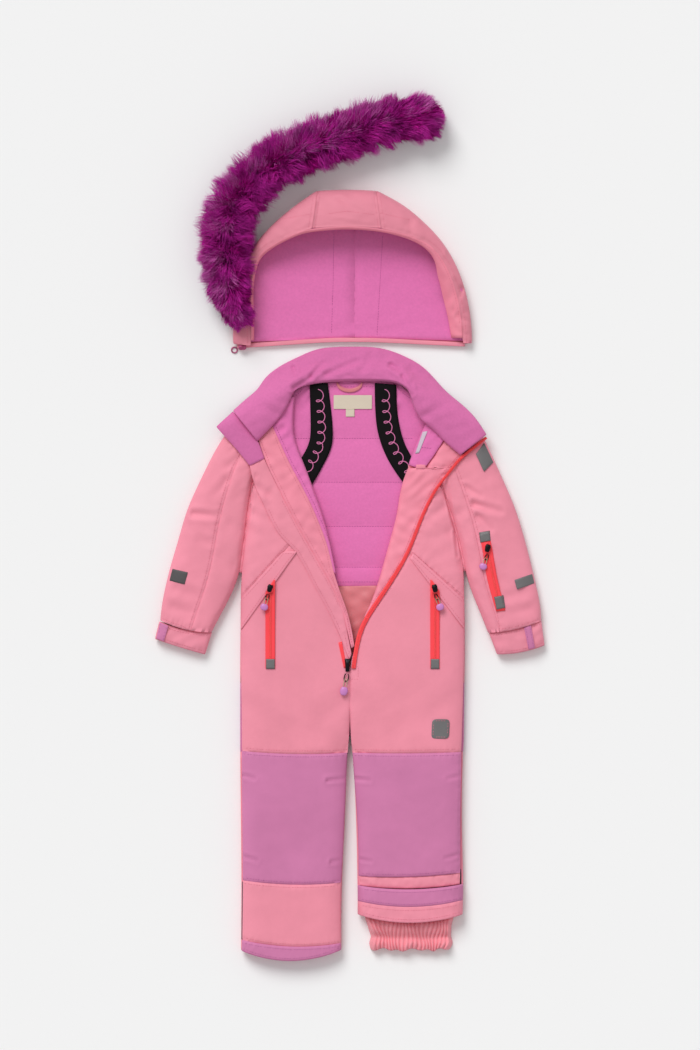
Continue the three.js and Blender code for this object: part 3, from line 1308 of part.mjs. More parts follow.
// Zip along the neck edge, by which the hood comes off, with its slider at the wearer's right end
const hoodZip = {
  right: -180,
  left: 183,
  width: 5.6,
  height: 8,
  slider: { from: -178, to: -166, height: 10.5 },
};
const hoodZipColumns = [
  ...[-180, -178.4, -178, -166, -165.6, -120, -75],
  hoodBack.right,
  7,
  hoodBack.left,
  ...[88, 135, 183],
];
const hoodZipLength = hoodZip.left - hoodZip.right;
panel({
  name: "hood_zip",
  colour: colours.shell,
  sheet: (v, u) => {
    const x = mix(hoodZip.right, hoodZip.left, u);
    return { x, y: neckAt(x) - 0.4 - hoodZip.width * (1 - v) };
  },
  vs: [0, 0.5, 1],
  us: hoodZipColumns.map((x) => (x - hoodZip.right) / hoodZipLength),
  top: (x) => {
    const { from, to, height } = hoodZip.slider;
    return x > from - 0.2 && x < to + 0.2 ? height : hoodZip.height;
  },
  bottom: () => 0,
});
// Ring pull: a round ring of round wire, flat beside its slider
const hoodPull = { x: -185, y: 591.9, z: 1.2, radius: 4.6, wire: 1.1, around: 16, section: 6 };
function addRing(name, colour, { x, y, z, radius, wire, around, section }) {
  const positions = [];
  const index = [];
  for (let i = 0; i < around; i++) {
    for (let j = 0; j < section; j++) {
      const angle = (i / around) * 2 * Math.PI;
      const turn = (j / section) * 2 * Math.PI;
      const reach = radius + wire * Math.cos(turn);
      positions.push(x + reach * Math.cos(angle), y + reach * Math.sin(angle), z + wire * Math.sin(turn));
      const [a, b] = [i * section + j, i * section + ((j + 1) % section)];
      const [c, d] = [((i + 1) % around) * section + j, ((i + 1) % around) * section + ((j + 1) % section)];
      index.push(a, c, d, a, d, b);
    }
  }
  return addMesh(name, colour, positions, index, { roughness: 0.3, metalness: 0.8 });
}
addRing("hood_pull", colours.lilac, hoodPull);

// Fur ruff, taken off the brim: it bends round the hood and rests on the hood's edge at its lower end
const ruffLine = [
  { x: 139.2, y: 955.2, half: 20, high: 40 },
  { x: 124, y: 959, half: 38, high: 54 },
  { x: 92, y: 961, half: 43, high: 60 },
  { x: 28.8, y: 948.3, half: 45, high: 62 },
  { x: -34.6, y: 922.9, half: 45, high: 60 },
  { x: -97.8, y: 900.8, half: 45, high: 62 },
  { x: -145.3, y: 869.1, half: 45, high: 60 },
  { x: -183.2, y: 825, half: 45, high: 62 },
  { x: -199, y: 771.2, half: 45, high: 60 },
  { x: -195.8, y: 717.3, half: 43, high: 61 },
  { x: -186.4, y: 666.7, half: 34, high: 58 },
  { x: -176, y: 644, half: 24, high: 52 },
  { x: -170.6, y: 632, half: 12, high: 42 },
];
// The hood's own right border, and the height of its brim there
const hoodBorder = [
  { y: 765, x: -147, bz: 38 },
  { y: 742, x: -162, bz: 32 },
  { y: 704, x: -176, bz: 26 },
  { y: 640, x: -186, bz: 23 },
  { y: 600, x: -186, bz: 19 },
];
function ruffUnder(x, y) {
  const brim = sideAt(hoodBorder.map((row) => ({ y: row.y, x: row.bz })), y);
  return brim * smooth((x - sideAt(hoodBorder, y) + 14) / 12) * smooth((775 - y) / 12);
}
const ruffSegments = 34;
const tufts = (v, u) => 2.6 * Math.sin(v * 61) * Math.sin(u * 9 + v * 23) + 1.8 * Math.sin(v * 113 + u * 17);
panel({
  name: "fur_ruff",
  colour: colours.fur,
  sheet: (v, u) => {
    const step = 0.01;
    const here = { x: along(ruffLine, "x", v), y: along(ruffLine, "y", v) };
    const next = { x: along(ruffLine, "x", v + step), y: along(ruffLine, "y", v + step) };
    const last = { x: along(ruffLine, "x", v - step), y: along(ruffLine, "y", v - step) };
    const length = Math.hypot(next.x - last.x, next.y - last.y);
    const half = along(ruffLine, "half", v) + 1.6 * Math.sin(v * 83) * Math.sign(u - 0.5);
    const off = (0.5 - u) * 2 * half;
    return {
      x: here.x - ((next.y - last.y) / length) * off,
      y: here.y + ((next.x - last.x) / length) * off,
    };
  },
  vs: even(ruffSegments),
  us: [0, 0.05, 0.2, 0.5, 0.8, 0.95, 1],
  top: (x, y, v, u) => {
    const edge = Math.min(u, 1 - u);
    const base = ruffUnder(x, y) + 6;
    const arch = crown(edge, 0.42);
    return base + (along(ruffLine, "high", v) - base) * arch + tufts(v, u) * arch;
  },
  bottom: ruffUnder,
});

export default root;
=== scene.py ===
import math

import bmesh
import bpy
import numpy as np
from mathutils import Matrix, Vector
from mathutils.bvhtree import BVHTree


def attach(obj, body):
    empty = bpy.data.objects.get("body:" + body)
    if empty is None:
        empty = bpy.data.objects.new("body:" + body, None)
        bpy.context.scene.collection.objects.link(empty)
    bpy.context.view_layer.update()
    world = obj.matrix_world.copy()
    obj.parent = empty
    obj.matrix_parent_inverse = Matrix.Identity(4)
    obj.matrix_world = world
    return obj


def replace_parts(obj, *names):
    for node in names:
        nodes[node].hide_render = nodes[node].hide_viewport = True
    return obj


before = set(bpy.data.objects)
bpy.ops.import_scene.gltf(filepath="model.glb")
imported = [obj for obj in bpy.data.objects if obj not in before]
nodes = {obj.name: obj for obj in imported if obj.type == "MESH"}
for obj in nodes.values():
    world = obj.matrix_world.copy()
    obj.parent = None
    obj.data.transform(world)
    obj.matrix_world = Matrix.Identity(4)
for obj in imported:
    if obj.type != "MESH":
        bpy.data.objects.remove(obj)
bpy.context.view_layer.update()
print("frame loaded:", len(nodes), "solids")

# Tables are in millimetres: x from the centre seam, y from the crotch, z from the floor
tableOrigin = np.array([1.0, -309.6, 0.0])


def toRow(x, y, z=0.0):
    return Vector((np.array([x, y, z]) + tableOrigin) / 1000)


def toTable(point):  # a point of the row in millimetres
    return point.x - tableOrigin[0], point.y - tableOrigin[1]


def smooth(t):
    t = np.clip(t, 0.0, 1.0)
    return t * t * (3 - 2 * t)


def mix(a, b, t):
    return a + (b - a) * t


def hexColour(text, gain=1.0):
    parts = [int(text[i : i + 2], 16) / 255 for i in (0, 2, 4)]
    line = [p / 12.92 if p <= 0.04045 else ((p + 0.055) / 1.055) ** 2.4 for p in parts]
    return [min(1.0, p * gain) for p in line] + [1.0]


# Camera, floor and light
shot = {
    "middle": (0.0, 312.0),  # what the middle of the picture looks at
    "height": 1680.0,  # what the picture's height covers
    "distance": 12.0,  # metres, far enough that nothing leans outwards
    "sensor": 36.0,
}
floorLook = {"size": 9.0, "colour": "f4f4f4", "roughness": 0.9, "grain": 180.0, "relief": 0.05}
lightLook = {"sun": 1.98, "softness": 32.0, "tilt": (-41.0, -25.0), "world": 0.55}

camera = bpy.data.objects.new("camera", bpy.data.cameras.new("camera"))
bpy.context.scene.collection.objects.link(camera)
camera.location = toRow(*shot["middle"]) + Vector((0, 0, shot["distance"]))
camera.data.sensor_fit = "VERTICAL"
camera.data.sensor_height = shot["sensor"]
camera.data.lens = shot["sensor"] * shot["distance"] * 1000 / shot["height"]
camera.data.clip_end = 60.0
camera.data.dof.use_dof = False
bpy.context.scene.camera = camera
bpy.context.scene.view_settings.view_transform = "Standard"  # keeps the dyes' own strong pinks


def newMaterial(name):
    material = bpy.data.materials.new(name)
    material.use_nodes = True
    return material, material.node_tree, material.node_tree.nodes["Principled BSDF"]


def addNode(tree, kind, settings=None, **values):
    node = tree.nodes.new(kind)
    for key, value in (settings or {}).items():
        setattr(node, key, value)
    for key, value in values.items():
        node.inputs[key.replace("_", " ")].default_value = value
    return node


def addFloor():
    material, tree, shader = newMaterial("floorPaper")
    coords = addNode(tree, "ShaderNodeTexCoord")
    grain = addNode(tree, "ShaderNodeTexNoise", Scale=floorLook["grain"], Detail=4.0)
    bump = addNode(tree, "ShaderNodeBump", Strength=floorLook["relief"], Distance=0.0004)
    tree.links.new(coords.outputs["Object"], grain.inputs["Vector"])
    tree.links.new(grain.outputs["Fac"], bump.inputs["Height"])
    tree.links.new(bump.outputs["Normal"], shader.inputs["Normal"])
    shader.inputs["Base Color"].default_value = hexColour(floorLook["colour"])
    shader.inputs["Roughness"].default_value = floorLook["roughness"]
    half = floorLook["size"] / 2
    mesh = bpy.data.meshes.new("floor")
    corners = [(-half, -half), (half, -half), (half, half), (-half, half)]
    mesh.from_pydata([(x, y, -0.0004) for x, y in corners], [], [(0, 1, 2, 3)])
    mesh.materials.append(material)
    floor = bpy.data.objects.new("floor", mesh)
    bpy.context.scene.collection.objects.link(floor)


def addLight():
    sun = bpy.data.objects.new("windowLight", bpy.data.lights.new("windowLight", "SUN"))
    sun.data.energy = lightLook["sun"]
    sun.data.angle = math.radians(lightLook["softness"])
    tiltX, tiltY = (math.radians(a) for a in lightLook["tilt"])
    sun.rotation_euler = (tiltX, tiltY, 0.0)
    bpy.context.scene.collection.objects.link(sun)
    world = bpy.data.worlds.new("studio")
    world.use_nodes = True
    background = world.node_tree.nodes["Background"]
    background.inputs["Color"].default_value = (1.0, 1.0, 1.0, 1.0)
    background.inputs["Strength"].default_value = lightLook["world"]
    bpy.context.scene.world = world


addFloor()
addLight()
print("camera, floor and light placed")

# Materials: colour with a soft variation, and layers of relief in metres
weave = {"kind": "weave", "size": 0.0007, "strength": 0.3, "depth": 0.0001}
webWeave = {"kind": "weave", "size": 0.0017, "strength": 0.7, "depth": 0.0004}
beadWeave = {"kind": "weave", "size": 0.0012, "strength": 0.5, "depth": 0.0003}
crumple = {"kind": "noise", "size": 0.03, "strength": 0.34, "depth": 0.0022}
fineCrumple = {"kind": "noise", "size": 0.008, "strength": 0.2, "depth": 0.0006}
pile = {"kind": "noise", "size": 0.0024, "strength": 0.4, "depth": 0.0008, "detail": 6.0}
coated = [weave, crumple, fineCrumple]
beaded = [beadWeave, fineCrumple]
looks = {  # one without a relief of its own has the fine crumple alone
    "shell": dict(colour="ec8ea2", roughness=0.6, sheen=0.06, relief=coated),
    "facing": dict(colour="ee8ba0", roughness=0.58, sheen=0.06, relief=coated),
    "mauve": dict(colour="cd79a6", roughness=0.64, sheen=0.05, relief=[weave, crumple]),
    "fleece": dict(colour="e274b1", roughness=0.95, sheen=0.1, tone=260.0, relief=[crumple, pile]),
    # the collar's fleece, darker than the fleece: painted shade for the collar and the flap's top, which lie
    # high in the light
    "collarFleece": dict(colour="d26ea5", roughness=0.95, sheen=0.08, tone=260.0, relief=[crumple, pile]),
    # the hood's shell colour, darker than the shell's: painted shade for the hood's panels, which slope away
    # from the light
    "hoodShell": dict(colour="e08699", roughness=0.6, sheen=0.05, relief=coated),
    "gaiterCloth": dict(colour="ee939f", roughness=0.5, sheen=0.05, relief=[weave, fineCrumple]),
    "satin": dict(colour="d57a81", roughness=0.4, sheen=0.05, relief=coated),
    "neonTape": dict(colour="ff4750", roughness=0.5, spread=0.04, relief=[weave]),
    "ankleZip": dict(colour="574a50", roughness=0.5, relief=[beadWeave]),
    "neonTeeth": dict(colour="ff5a5c", roughness=0.3, spread=0.02, specular=0.5),
    "webbing": dict(colour="0e0a0d", roughness=0.7, specular=0.12, relief=[webWeave]),
    "webLine": dict(colour="e27fb2", roughness=0.6, relief=[weave]),
    "reflective": dict(colour="6d6b6c", roughness=0.42, metal=0.2, specular=0.5, relief=beaded),
    "sleeveReflective": dict(colour="504c4e", roughness=0.45, metal=0.2, specular=0.4, relief=beaded),
    "label": dict(colour="d6c8b5", roughness=0.7, relief=[weave, fineCrumple]),
    "hookTape": dict(colour="cdbccb", roughness=0.8, relief=[pile]),
    "pullCord": dict(colour="b9a88c", roughness=0.75, spread=0.25, tone=900.0),
    "pullCap": dict(colour="cb80c2", roughness=0.36, specular=0.5),
    "darkMetal": dict(colour="1d1c1f", roughness=0.32, metal=0.7),
    "roseMetal": dict(colour="b0527c", roughness=0.32, metal=0.55),
    "shellThread": dict(colour="e07c92", roughness=0.6),
    "mauveThread": dict(colour="b6649a", roughness=0.6),
    "fleeceThread": dict(colour="b04e8e", roughness=0.7),
    "furDeep": dict(colour="a3107c", roughness=0.6, specular=0.05, spread=0.5, tone=45.0, relief=[pile]),
    # the pale hair's colour, laid only on the ruff's lit side: a painted highlight
    "furPale": dict(colour="c05aa8", roughness=0.5, specular=0.06, spread=0.3, tone=45.0),
    "furTip": dict(colour="b82898", roughness=0.5, specular=0.06, spread=0.4, tone=45.0),
}


def reliefHeight(tree, coords, layer):
    link = tree.links.new
    if layer["kind"] == "weave":
        threads = []
        for direction in ("X", "Y"):
            settings = {"bands_direction": direction}
            scale = 0.314 / layer["size"]  # a wave texture's own pitch is 0.314 at scale 1
            wave = addNode(tree, "ShaderNodeTexWave", settings, Scale=scale, Distortion=0.4)
            link(coords.outputs["Object"], wave.inputs["Vector"])
            threads.append(wave.outputs["Fac"])
        crossing = addNode(tree, "ShaderNodeMath", {"operation": "MULTIPLY"})
        link(threads[0], crossing.inputs[0])
        link(threads[1], crossing.inputs[1])
        return crossing.outputs[0]
    detail = layer.get("detail", 4.0)
    grain = addNode(tree, "ShaderNodeTexNoise", Scale=1.0 / layer["size"], Detail=detail, Roughness=0.6)
    link(coords.outputs["Object"], grain.inputs["Vector"])
    return grain.outputs["Fac"]


def makeMaterial(name, look):
    material, tree, shader = newMaterial(name)
    link = tree.links.new
    coords = addNode(tree, "ShaderNodeTexCoord")
    tone = addNode(tree, "ShaderNodeTexNoise", Scale=look.get("tone", 16.0), Detail=5.0, Roughness=0.6)
    ramp = addNode(tree, "ShaderNodeValToRGB")
    spread = look.get("spread", 0.05)
    for i, (place, gain) in enumerate([(0.3, 1 - spread), (0.7, 1 + spread)]):
        ramp.color_ramp.elements[i].position = place
        ramp.color_ramp.elements[i].color = hexColour(look["colour"], gain)
    link(coords.outputs["Object"], tone.inputs["Vector"])
    link(tone.outputs["Fac"], ramp.inputs["Fac"])
    link(ramp.outputs["Color"], shader.inputs["Base Color"])
    normal = None
    for layer in look.get("relief", [fineCrumple]):
        bump = addNode(tree, "ShaderNodeBump", Strength=layer["strength"], Distance=layer["depth"])
        link(reliefHeight(tree, coords, layer), bump.inputs["Height"])
        if normal:
            link(normal, bump.inputs["Normal"])
        normal = bump.outputs["Normal"]
    link(normal, shader.inputs["Normal"])
    shader.inputs["Roughness"].default_value = look["roughness"]
    shader.inputs["Sheen Weight"].default_value = look.get("sheen", 0.0)
    shader.inputs["Sheen Roughness"].default_value = 0.5
    shader.inputs["Metallic"].default_value = look.get("metal", 0.0)
    shader.inputs["Specular IOR Level"].default_value = look.get("specular", 0.3)
    return material


materials = {name: makeMaterial(name, look) for name, look in looks.items()}
print("materials:", len(materials))


def addPiece(name, mesh, finish, body="suit", standsFor=()):
    piece = bpy.data.objects.new(name, mesh)
    bpy.context.scene.collection.objects.link(piece)
    mesh.materials.clear()
    mesh.materials.append(materials[finish])
    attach(piece, body)
    if standsFor:
        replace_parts(piece, *standsFor)
    return piece


def meshOf(name, points, faces):
    mesh = bpy.data.meshes.new(name)
    mesh.from_pydata([toRow(*p) for p in points], [], faces)
    mesh.update()
    return mesh


def smoothPiece(name, points, faces, finish, body="suit", standsFor=()):
    mesh = meshOf(name, points, faces)
    mesh.shade_smooth()
    return addPiece(name, mesh, finish, body, standsFor)


def tubeFaces(rings, around, inverted=False):  # both ends and the sides of a tube of points
    faces = [tuple(reversed(range(around))), tuple(range((rings - 1) * around, rings * around))]
    for ring in range(rings - 1):
        for i in range(around):
            j = (i + 1) % around
            low, high = ring * around, (ring + 1) * around
            faces.append((low + i, low + j, high + j, high + i))
    return [(face[0], *reversed(face[1:])) for face in faces] if inverted else faces


# Cloth: each panel is rounded and folded from its solid
foldLook = {"deeper": 1.3, "narrower": 0.85}
foldLines = [  # x, y, toX, toY, width, depth
    (156, 744, 174, 704, 5, 2.2), (168, 702, 186, 670, 5, 2.4), (178, 688, 164, 652, 5, 2.0),
    (172, 646, 190, 636, 5, 2.2), (166, 626, 186, 616, 5, 2.0), (150, 762, 168, 738, 5, 1.8),
    (-150, 740, -168, 716, 6, 1.6), (-160, 690, -172, 660, 6, 1.4), (150, 392, 160, 352, 4, 2.2),
    (158, 348, 166, 312, 4, 2.4), (168, 300, 172, 262, 4, 2.0), (186, 372, 208, 358, 6, 1.6),
    (-150, 392, -158, 352, 4, 1.4), (-160, 340, -166, 300, 4, 1.4), (2, 542, -20, 566, 6, 1.8),
    (-58, 520, -74, 498, 7, 2.0), (78, 500, 92, 476, 7, 2.0), (-108, 466, -128, 452, 7, 1.6),
    (120, 470, 142, 452, 7, 1.6), (-174, 421, -196, 404, 9, 1.6), (-194, 384, -214, 362, 10, 1.8),
    (-221, 283, -240, 286, 10, 1.2), (-250, 330, -206, 326, 8, 2.6), (-168, 300, -200, 318, 16, 1.4),
    (-178, 240, -214, 262, 18, 1.4), (198, 345, 240, 334, 8, 2.6), (203, 326, 224, 306, 8, 2.2),
    (172, 330, 196, 344, 12, 1.4), (184, 250, 214, 268, 18, 1.4), (240, 400, 214, 388, 14, 1.0),
    (-149, 373, -124, 356, 8, 1.8), (-132, 359, -119, 374, 6, 1.2), (-109, 321, -94, 329, 8, 1.2),
    (-154, 330, -128, 318, 10, 1.2), (150, 340, 122, 322, 10, 1.3), (158, 300, 130, 290, 12, 1.1),
    (-36, -96, -8, -93, 4, 2.4), (-174, -87, -152, -93, 4, 2.2), (-30, -226, -16, -224, 4, 2.0),
    (-172, -217, -148, -224, 4, 2.2), (8, -93, 32, -96, 4, 2.4), (178, -88, 156, -93, 4, 2.0),
    (14, -222, 34, -225, 4, 1.8), (176, -214, 152, -220, 4, 1.8), (-168, 30, -120, -6, 22, 1.1),
    (168, 40, 118, 0, 22, 1.1), (-12, 30, -58, -14, 24, 1.2), (12, 30, 60, -18, 24, 1.2),
    (-90, -10, -70, -44, 20, 0.8), (84, -6, 66, -44, 20, 0.8), (-90, 531, -62, 549, 6, 3.0),
    (-63, 549, -42, 570, 6, 2.8), (-38, 552, 12, 573, 7, 2.6), (-70, 584, -40, 596, 9, 1.4),
    (96, 560, 128, 530, 10, 1.6), (-90, 563, -86, 548, 5, 2.2), (65, 567, 90, 550, 6, 2.8),
    (84, 549, 99, 522, 5, 2.8), (74, 538, 97, 519, 5, 2.2), (20, 560, 36, 590, 9, 1.2),
    (-18, 832, 14, 812, 5, 1.6), (-22, 796, 20, 790, 5, 1.0), (-120, 842, -92, 806, 8, 1.4),
    (118, 832, 96, 792, 8, 1.4), (-120, 490, -160, 508, 10, 1.2), (118, 486, 160, 506, 10, 1.2),
    (60, 545, 52, 588, 9, 1.0), (-276, 210, -240, 196, 12, 1.3), (-282, 180, -236, 168, 12, 1.2),
    (276, 205, 240, 192, 12, 1.2), (286, 178, 238, 166, 12, 1.1), (-128, 800, -104, 776, 10, 1.4),
    (92, 806, 100, 778, 10, 1.4), (0, 838, -4, 800, 12, 0.8), (176, 690, 150, 668, 12, 1.6),
    (182, 650, 158, 636, 12, 1.6),
]
swell = {"waves": 9, "seed": 7, "longest": 150.0, "shortest": 38.0}
# Node: finish, subdivisions, seam dip, its reach, swell, flat width, length, area, lies on, held if not laid
clothPieces = {
    "back_bodice": ("shell", 2, 0.0, 6, 0.0, 420, 500, 165000, "floor"),
    "back_seat": ("mauve", 2, 0.0, 6, 0.0, 370, 125, 43000, "floor"),
    "back_leg_right": ("shell", 2, 0.0, 6, 0.0, 195, 395, 63000, "floor"),
    "back_leg_left": ("shell", 2, 0.0, 6, 0.0, 200, 340, 55000, "floor"),
    "back_lining": ("fleece", 3, 0.0, 6, 0.35, 360, 340, 92000, "backBodice"),
    "seat_lining": ("satin", 3, 0.0, 6, 0.9, 315, 155, 45000, "backBodice"),
    "chest_right": ("shell", 3, 1.6, 6, 0.9, 130, 300, 17500, "backLining"),
    "chest_left": ("shell", 3, 1.6, 6, 0.9, 110, 200, 11000, "backLining"),
    "hip_right": ("shell", 3, 1.6, 6, 0.9, 190, 370, 59000, "seatLining"),
    "hip_left": ("shell", 3, 1.6, 6, 0.9, 195, 340, 56000, "seatLining"),
    "knee_right": ("mauve", 3, 1.5, 5, 0.7, 180, 225, 39500, "backLegRight"),
    "knee_left": ("mauve", 3, 1.5, 5, 0.7, 185, 215, 38500, "backLegLeft"),
    "shin_right": ("shell", 3, 1.5, 5, 0.8, 165, 118, 19000, "backLegRight"),
    "shin_left": ("shell", 3, 1.0, 4, 0.4, 165, 32, 5200, "backLegLeft"),
    "hem_right": ("mauve", 3, 0.8, 4, 0.4, 165, 38, 6000, "backLegRight"),
    "hem_left": ("mauve", 3, 0.8, 4, 0.4, 175, 42, 7200, "backLegLeft", "folded"),
    "turn_up_left": ("shell", 3, 0.6, 4, 0.4, 175, 42, 7200, "backLegLeft", "folded"),
    "gaiter_left": ("gaiterCloth", 2, 0.0, 4, 0.3, 220, 60, 13000, "floor", "gathered"),
    "facing_right": ("facing", 3, 0.9, 4, 0.6, 400, 45, 14500, "backLining", "folded"),
    "lining_edge_right": ("fleece", 3, 0.5, 4, 0.4, 300, 36, 8200, "backLining", "folded"),
    "facing_left": ("facing", 3, 0.9, 4, 0.7, 330, 50, 13000, "backLining", "folded"),
    "lining_edge_left": ("fleece", 3, 0.6, 4, 0.4, 75, 60, 2900, "backLining", "folded"),
    # the collar and the flap's top below wear the fleece with painted shade
    "collar": ("collarFleece", 3, 0.0, 5, 0.8, 520, 100, 34000, "backLining"),
    "storm_flap": ("shell", 2, 0.5, 3, 0.5, 345, 32, 9800, "chestRight"),
    "storm_flap_top": ("collarFleece", 2, 0.3, 3, 0.4, 110, 36, 3500, "chestRight"),
    "pocket_flap_right": ("shell", 2, 0.3, 3, 0.3, 135, 36, 3700, "hipRight"),
    "pocket_flap_left": ("shell", 2, 0.3, 3, 0.3, 130, 32, 3000, "hipLeft"),
    "sleeve_under_right": ("shell", 2, 1.2, 5, 0.6, 185, 340, 48000, "floor"),
    "sleeve_under_left": ("shell", 2, 1.2, 5, 0.6, 190, 340, 45000, "floor"),
    "sleeve_upper_right": ("shell", 3, 1.4, 6, 1.1, 90, 335, 21500, "sleeveUnderRight"),
    "sleeve_upper_left": ("shell", 3, 1.4, 6, 1.1, 110, 335, 27000, "sleeveUnderLeft"),
    "cuff_right": ("shell", 2, 0.8, 4, 0.6, 92, 55, 4500, "floor", "gathered"),
    "cuff_left": ("shell", 2, 0.8, 4, 0.6, 95, 57, 5000, "floor", "gathered"),
    "cuff_tab_right": ("mauve", 2, 0.2, 2, 0.2, 20, 32, 500, "cuffRight"),
    "cuff_tab_left": ("mauve", 2, 0.2, 2, 0.2, 18, 40, 520, "cuffLeft"),
    "reflective_right": ("sleeveReflective", 2, 0.1, 2, 0.2, 30, 20, 590, "sleeveUpperRight"),
    "reflective_left": ("reflective", 2, 0.1, 2, 0.2, 32, 19, 560, "sleeveUpperLeft"),
    "shoulder_patch": ("reflective", 2, 0.1, 2, 0.2, 30, 46, 780, "sleeveUpperLeft"),
    "thigh_patch": ("reflective", 2, 0.1, 2, 0.2, 29, 32, 900, "hipLeft"),
    "neck_label": ("label", 3, 0.1, 2, 0.2, 62, 23, 1400, "backLining"),
    "hanger_loop": ("satin", 2, 0.1, 2, 0.1, 55, 10, 330, "collarPanel", "hung"),
    # the hood's three shell panels wear the shell colour with painted shade
    "hood_side_right": ("hoodShell", 3, 1.0, 6, 0.8, 185, 285, 43000, "floor"),
    "hood_centre": ("hoodShell", 3, 1.0, 6, 0.5, 115, 300, 28000, "floor"),
    "hood_side_left": ("hoodShell", 3, 1.0, 6, 0.8, 180, 280, 41000, "floor"),
    "hood_lining": ("fleece", 2, 0.0, 5, 0.9, 400, 260, 90000, "hoodCentre"),
    "hood_facing": ("facing", 2, 0.3, 4, 0.8, 700, 30, 7200, "hoodLining", "folded"),
    "hood_zip": ("shell", 3, 0.3, 3, 0.2, 370, 17, 5700, "floor"),
    "main_zip": ("neonTape", 2, 0.0, 2, 0.0, 430, 10, 3900, "chestLeft"),
    "pocket_zip_right": ("neonTape", 1, 0.0, 2, 0.0, 15, 142, 2100, "hipRight"),
    "pocket_zip_left": ("neonTape", 1, 0.0, 2, 0.0, 15, 142, 2050, "hipLeft"),
    "sleeve_zip": ("neonTape", 1, 0.0, 2, 0.0, 15, 124, 1850, "sleeveUpperLeft"),
    "webbing_right": ("webbing", 2, 0.0, 2, 0.1, 38, 185, 7000, "backLining"),
    "webbing_left": ("webbing", 2, 0.0, 2, 0.1, 38, 185, 7000, "backLining"),
}
creaseAngle = math.radians(52)


def bothSides(table):  # an entry that ends in _both counts for the right and the left
    full = {}
    for node, value in table.items():
        for side in ("right", "left"):
            full[node.replace("both", side)] = value
    return full


grow = bothSides({  # how far each panel reaches over its neighbours, which closes the seams
    "usual": 0.55, "collar": 1.3, "storm_flap_top": 1.3, "cuff_both": 1.2, "main_zip": -0.8,
    "hood_lining": 1.3, "hood_side_both": 1.5, "hood_centre": 0.9, "facing_left": 1.2,
    "lining_edge_left": 1.5,
})
ripples = bothSides({  # height of the short waves in thin, unquilted cloth
    "facing_both": 1.5, "lining_edge_right": 1.1, "lining_edge_left": 0.8, "storm_flap": 0.8,
    "seat_lining": 2.0, "hood_facing": 1.2, "cuff_both": 1.1, "collar": 0.7, "turn_up_left": 0.6,
    "hood_lining": 0.9, "chest_both": 0.5, "hood_zip": 0.4, "shin_left": 0.7, "gaiter_left": 0.6,
    "hood_side_right": 0.5, "hood_side_left": 0.6, "hood_centre": 0.5, "sleeve_upper_both": 0.35,
    "sleeve_under_both": 0.5, "back_lining": 0.35, "hem_left": 0.3,
})
pucker = {"reach": 15.0, "height": 0.42, "length": 11.0}  # gathers that the seams' stitches make
waveRandom = np.random.default_rng(swell["seed"])
waveTable = []
for i in range(swell["waves"]):
    length = mix(swell["longest"], swell["shortest"], (i / (swell["waves"] - 1)) ** 0.7)
    heading = waveRandom.uniform(0, math.pi)
    phase = waveRandom.uniform(0, 6.3)
    pitch = 2 * math.pi / length
    waveTable.append((pitch * math.cos(heading), pitch * math.sin(heading), phase, length))


def swellAt(x, y):
    warpX = x + 14 * np.sin(y / 47 + 1.3)
    warpY = y + 14 * np.sin(x / 53 + 0.4)
    total = sum(np.sin(kx * warpX + ky * warpY + phase) * length for kx, ky, phase, length in waveTable)
    return total / sum(length for *_, length in waveTable)


def rippleAt(x, y):
    warpX = x + 6 * np.sin(y / 17 + 0.7) + 9 * np.sin(y / 41)
    warpY = y + 6 * np.sin(x / 15 + 2.1) + 9 * np.sin(x / 37)
    first = np.sin(warpX / 4.6 + warpY / 6.1) * np.sin(warpX / 23 - warpY / 13)
    return 0.6 * first + 0.4 * np.sin(warpY / 3.9 - warpX / 7.3) * np.sin(warpY / 19 + warpX / 31)


def awayFrom(x, y, ends):
    nearest = np.full(len(x), 1e9)
    along = np.zeros(len(x))
    for ax, ay, bx, by in ends:
        dx, dy = bx - ax, by - ay
        length = max(math.hypot(dx, dy), 1e-6)
        t = np.clip(((x - ax) * dx + (y - ay) * dy) / length**2, 0, 1)
        away = np.hypot(x - ax - t * dx, y - ay - t * dy)
        closer = away < nearest
        nearest = np.where(closer, away, nearest)
        along = np.where(closer, abs((x * dx + y * dy) / length), along)
    return nearest, along


def foldDepth(x, y):
    depth = np.zeros(len(x))
    for ax, ay, bx, by, width, deep in foldLines:
        width, deep = width * foldLook["narrower"], deep * foldLook["deeper"]
        dx, dy = bx - ax, by - ay
        t = ((x - ax) * dx + (y - ay) * dy) / (dx * dx + dy * dy)
        inside = np.clip(t, 0, 1)
        off = np.hypot(x - ax - inside * dx, y - ay - inside * dy)
        depth += deep * np.exp(-((off / width) ** 2) * 2) * (1 - 0.6 * inside)
        depth -= 0.45 * deep * np.exp(-(((off - 1.5 * width) / width) ** 2) * 2) * (1 - 0.6 * inside)
    return depth


def cageOf(node):
    cage = bmesh.new()
    cage.from_mesh(nodes[node].data)
    bmesh.ops.remove_doubles(cage, verts=cage.verts, dist=2e-6)
    bmesh.ops.join_triangles(
        cage, faces=cage.faces, angle_face_threshold=math.radians(60), angle_shape_threshold=math.radians(180)
    )
    layer = cage.edges.layers.float.get("crease_edge") or cage.edges.layers.float.new("crease_edge")
    cage.normal_update()
    corners = []  # creased edges: two ends, the way into the upper face, and how level that face is
    for edge in cage.edges:
        if len(edge.link_faces) == 2 and edge.calc_face_angle(0) > creaseAngle:
            edge[layer] = 1.0
            upper = max(edge.link_faces, key=lambda face: face.normal.z)
            middle = (edge.verts[0].co + edge.verts[1].co) / 2
            along = (edge.verts[1].co - edge.verts[0].co).normalized()
            inward = upper.calc_center_median() - middle
            inward -= along * inward.dot(along)
            ends = [vert.co.copy() for vert in edge.verts]
            corners.append((*ends, inward.normalized(), upper.normal.z))
    mesh = bpy.data.meshes.new(node + "Cage")
    cage.to_mesh(mesh)
    cage.free()
    return mesh, corners


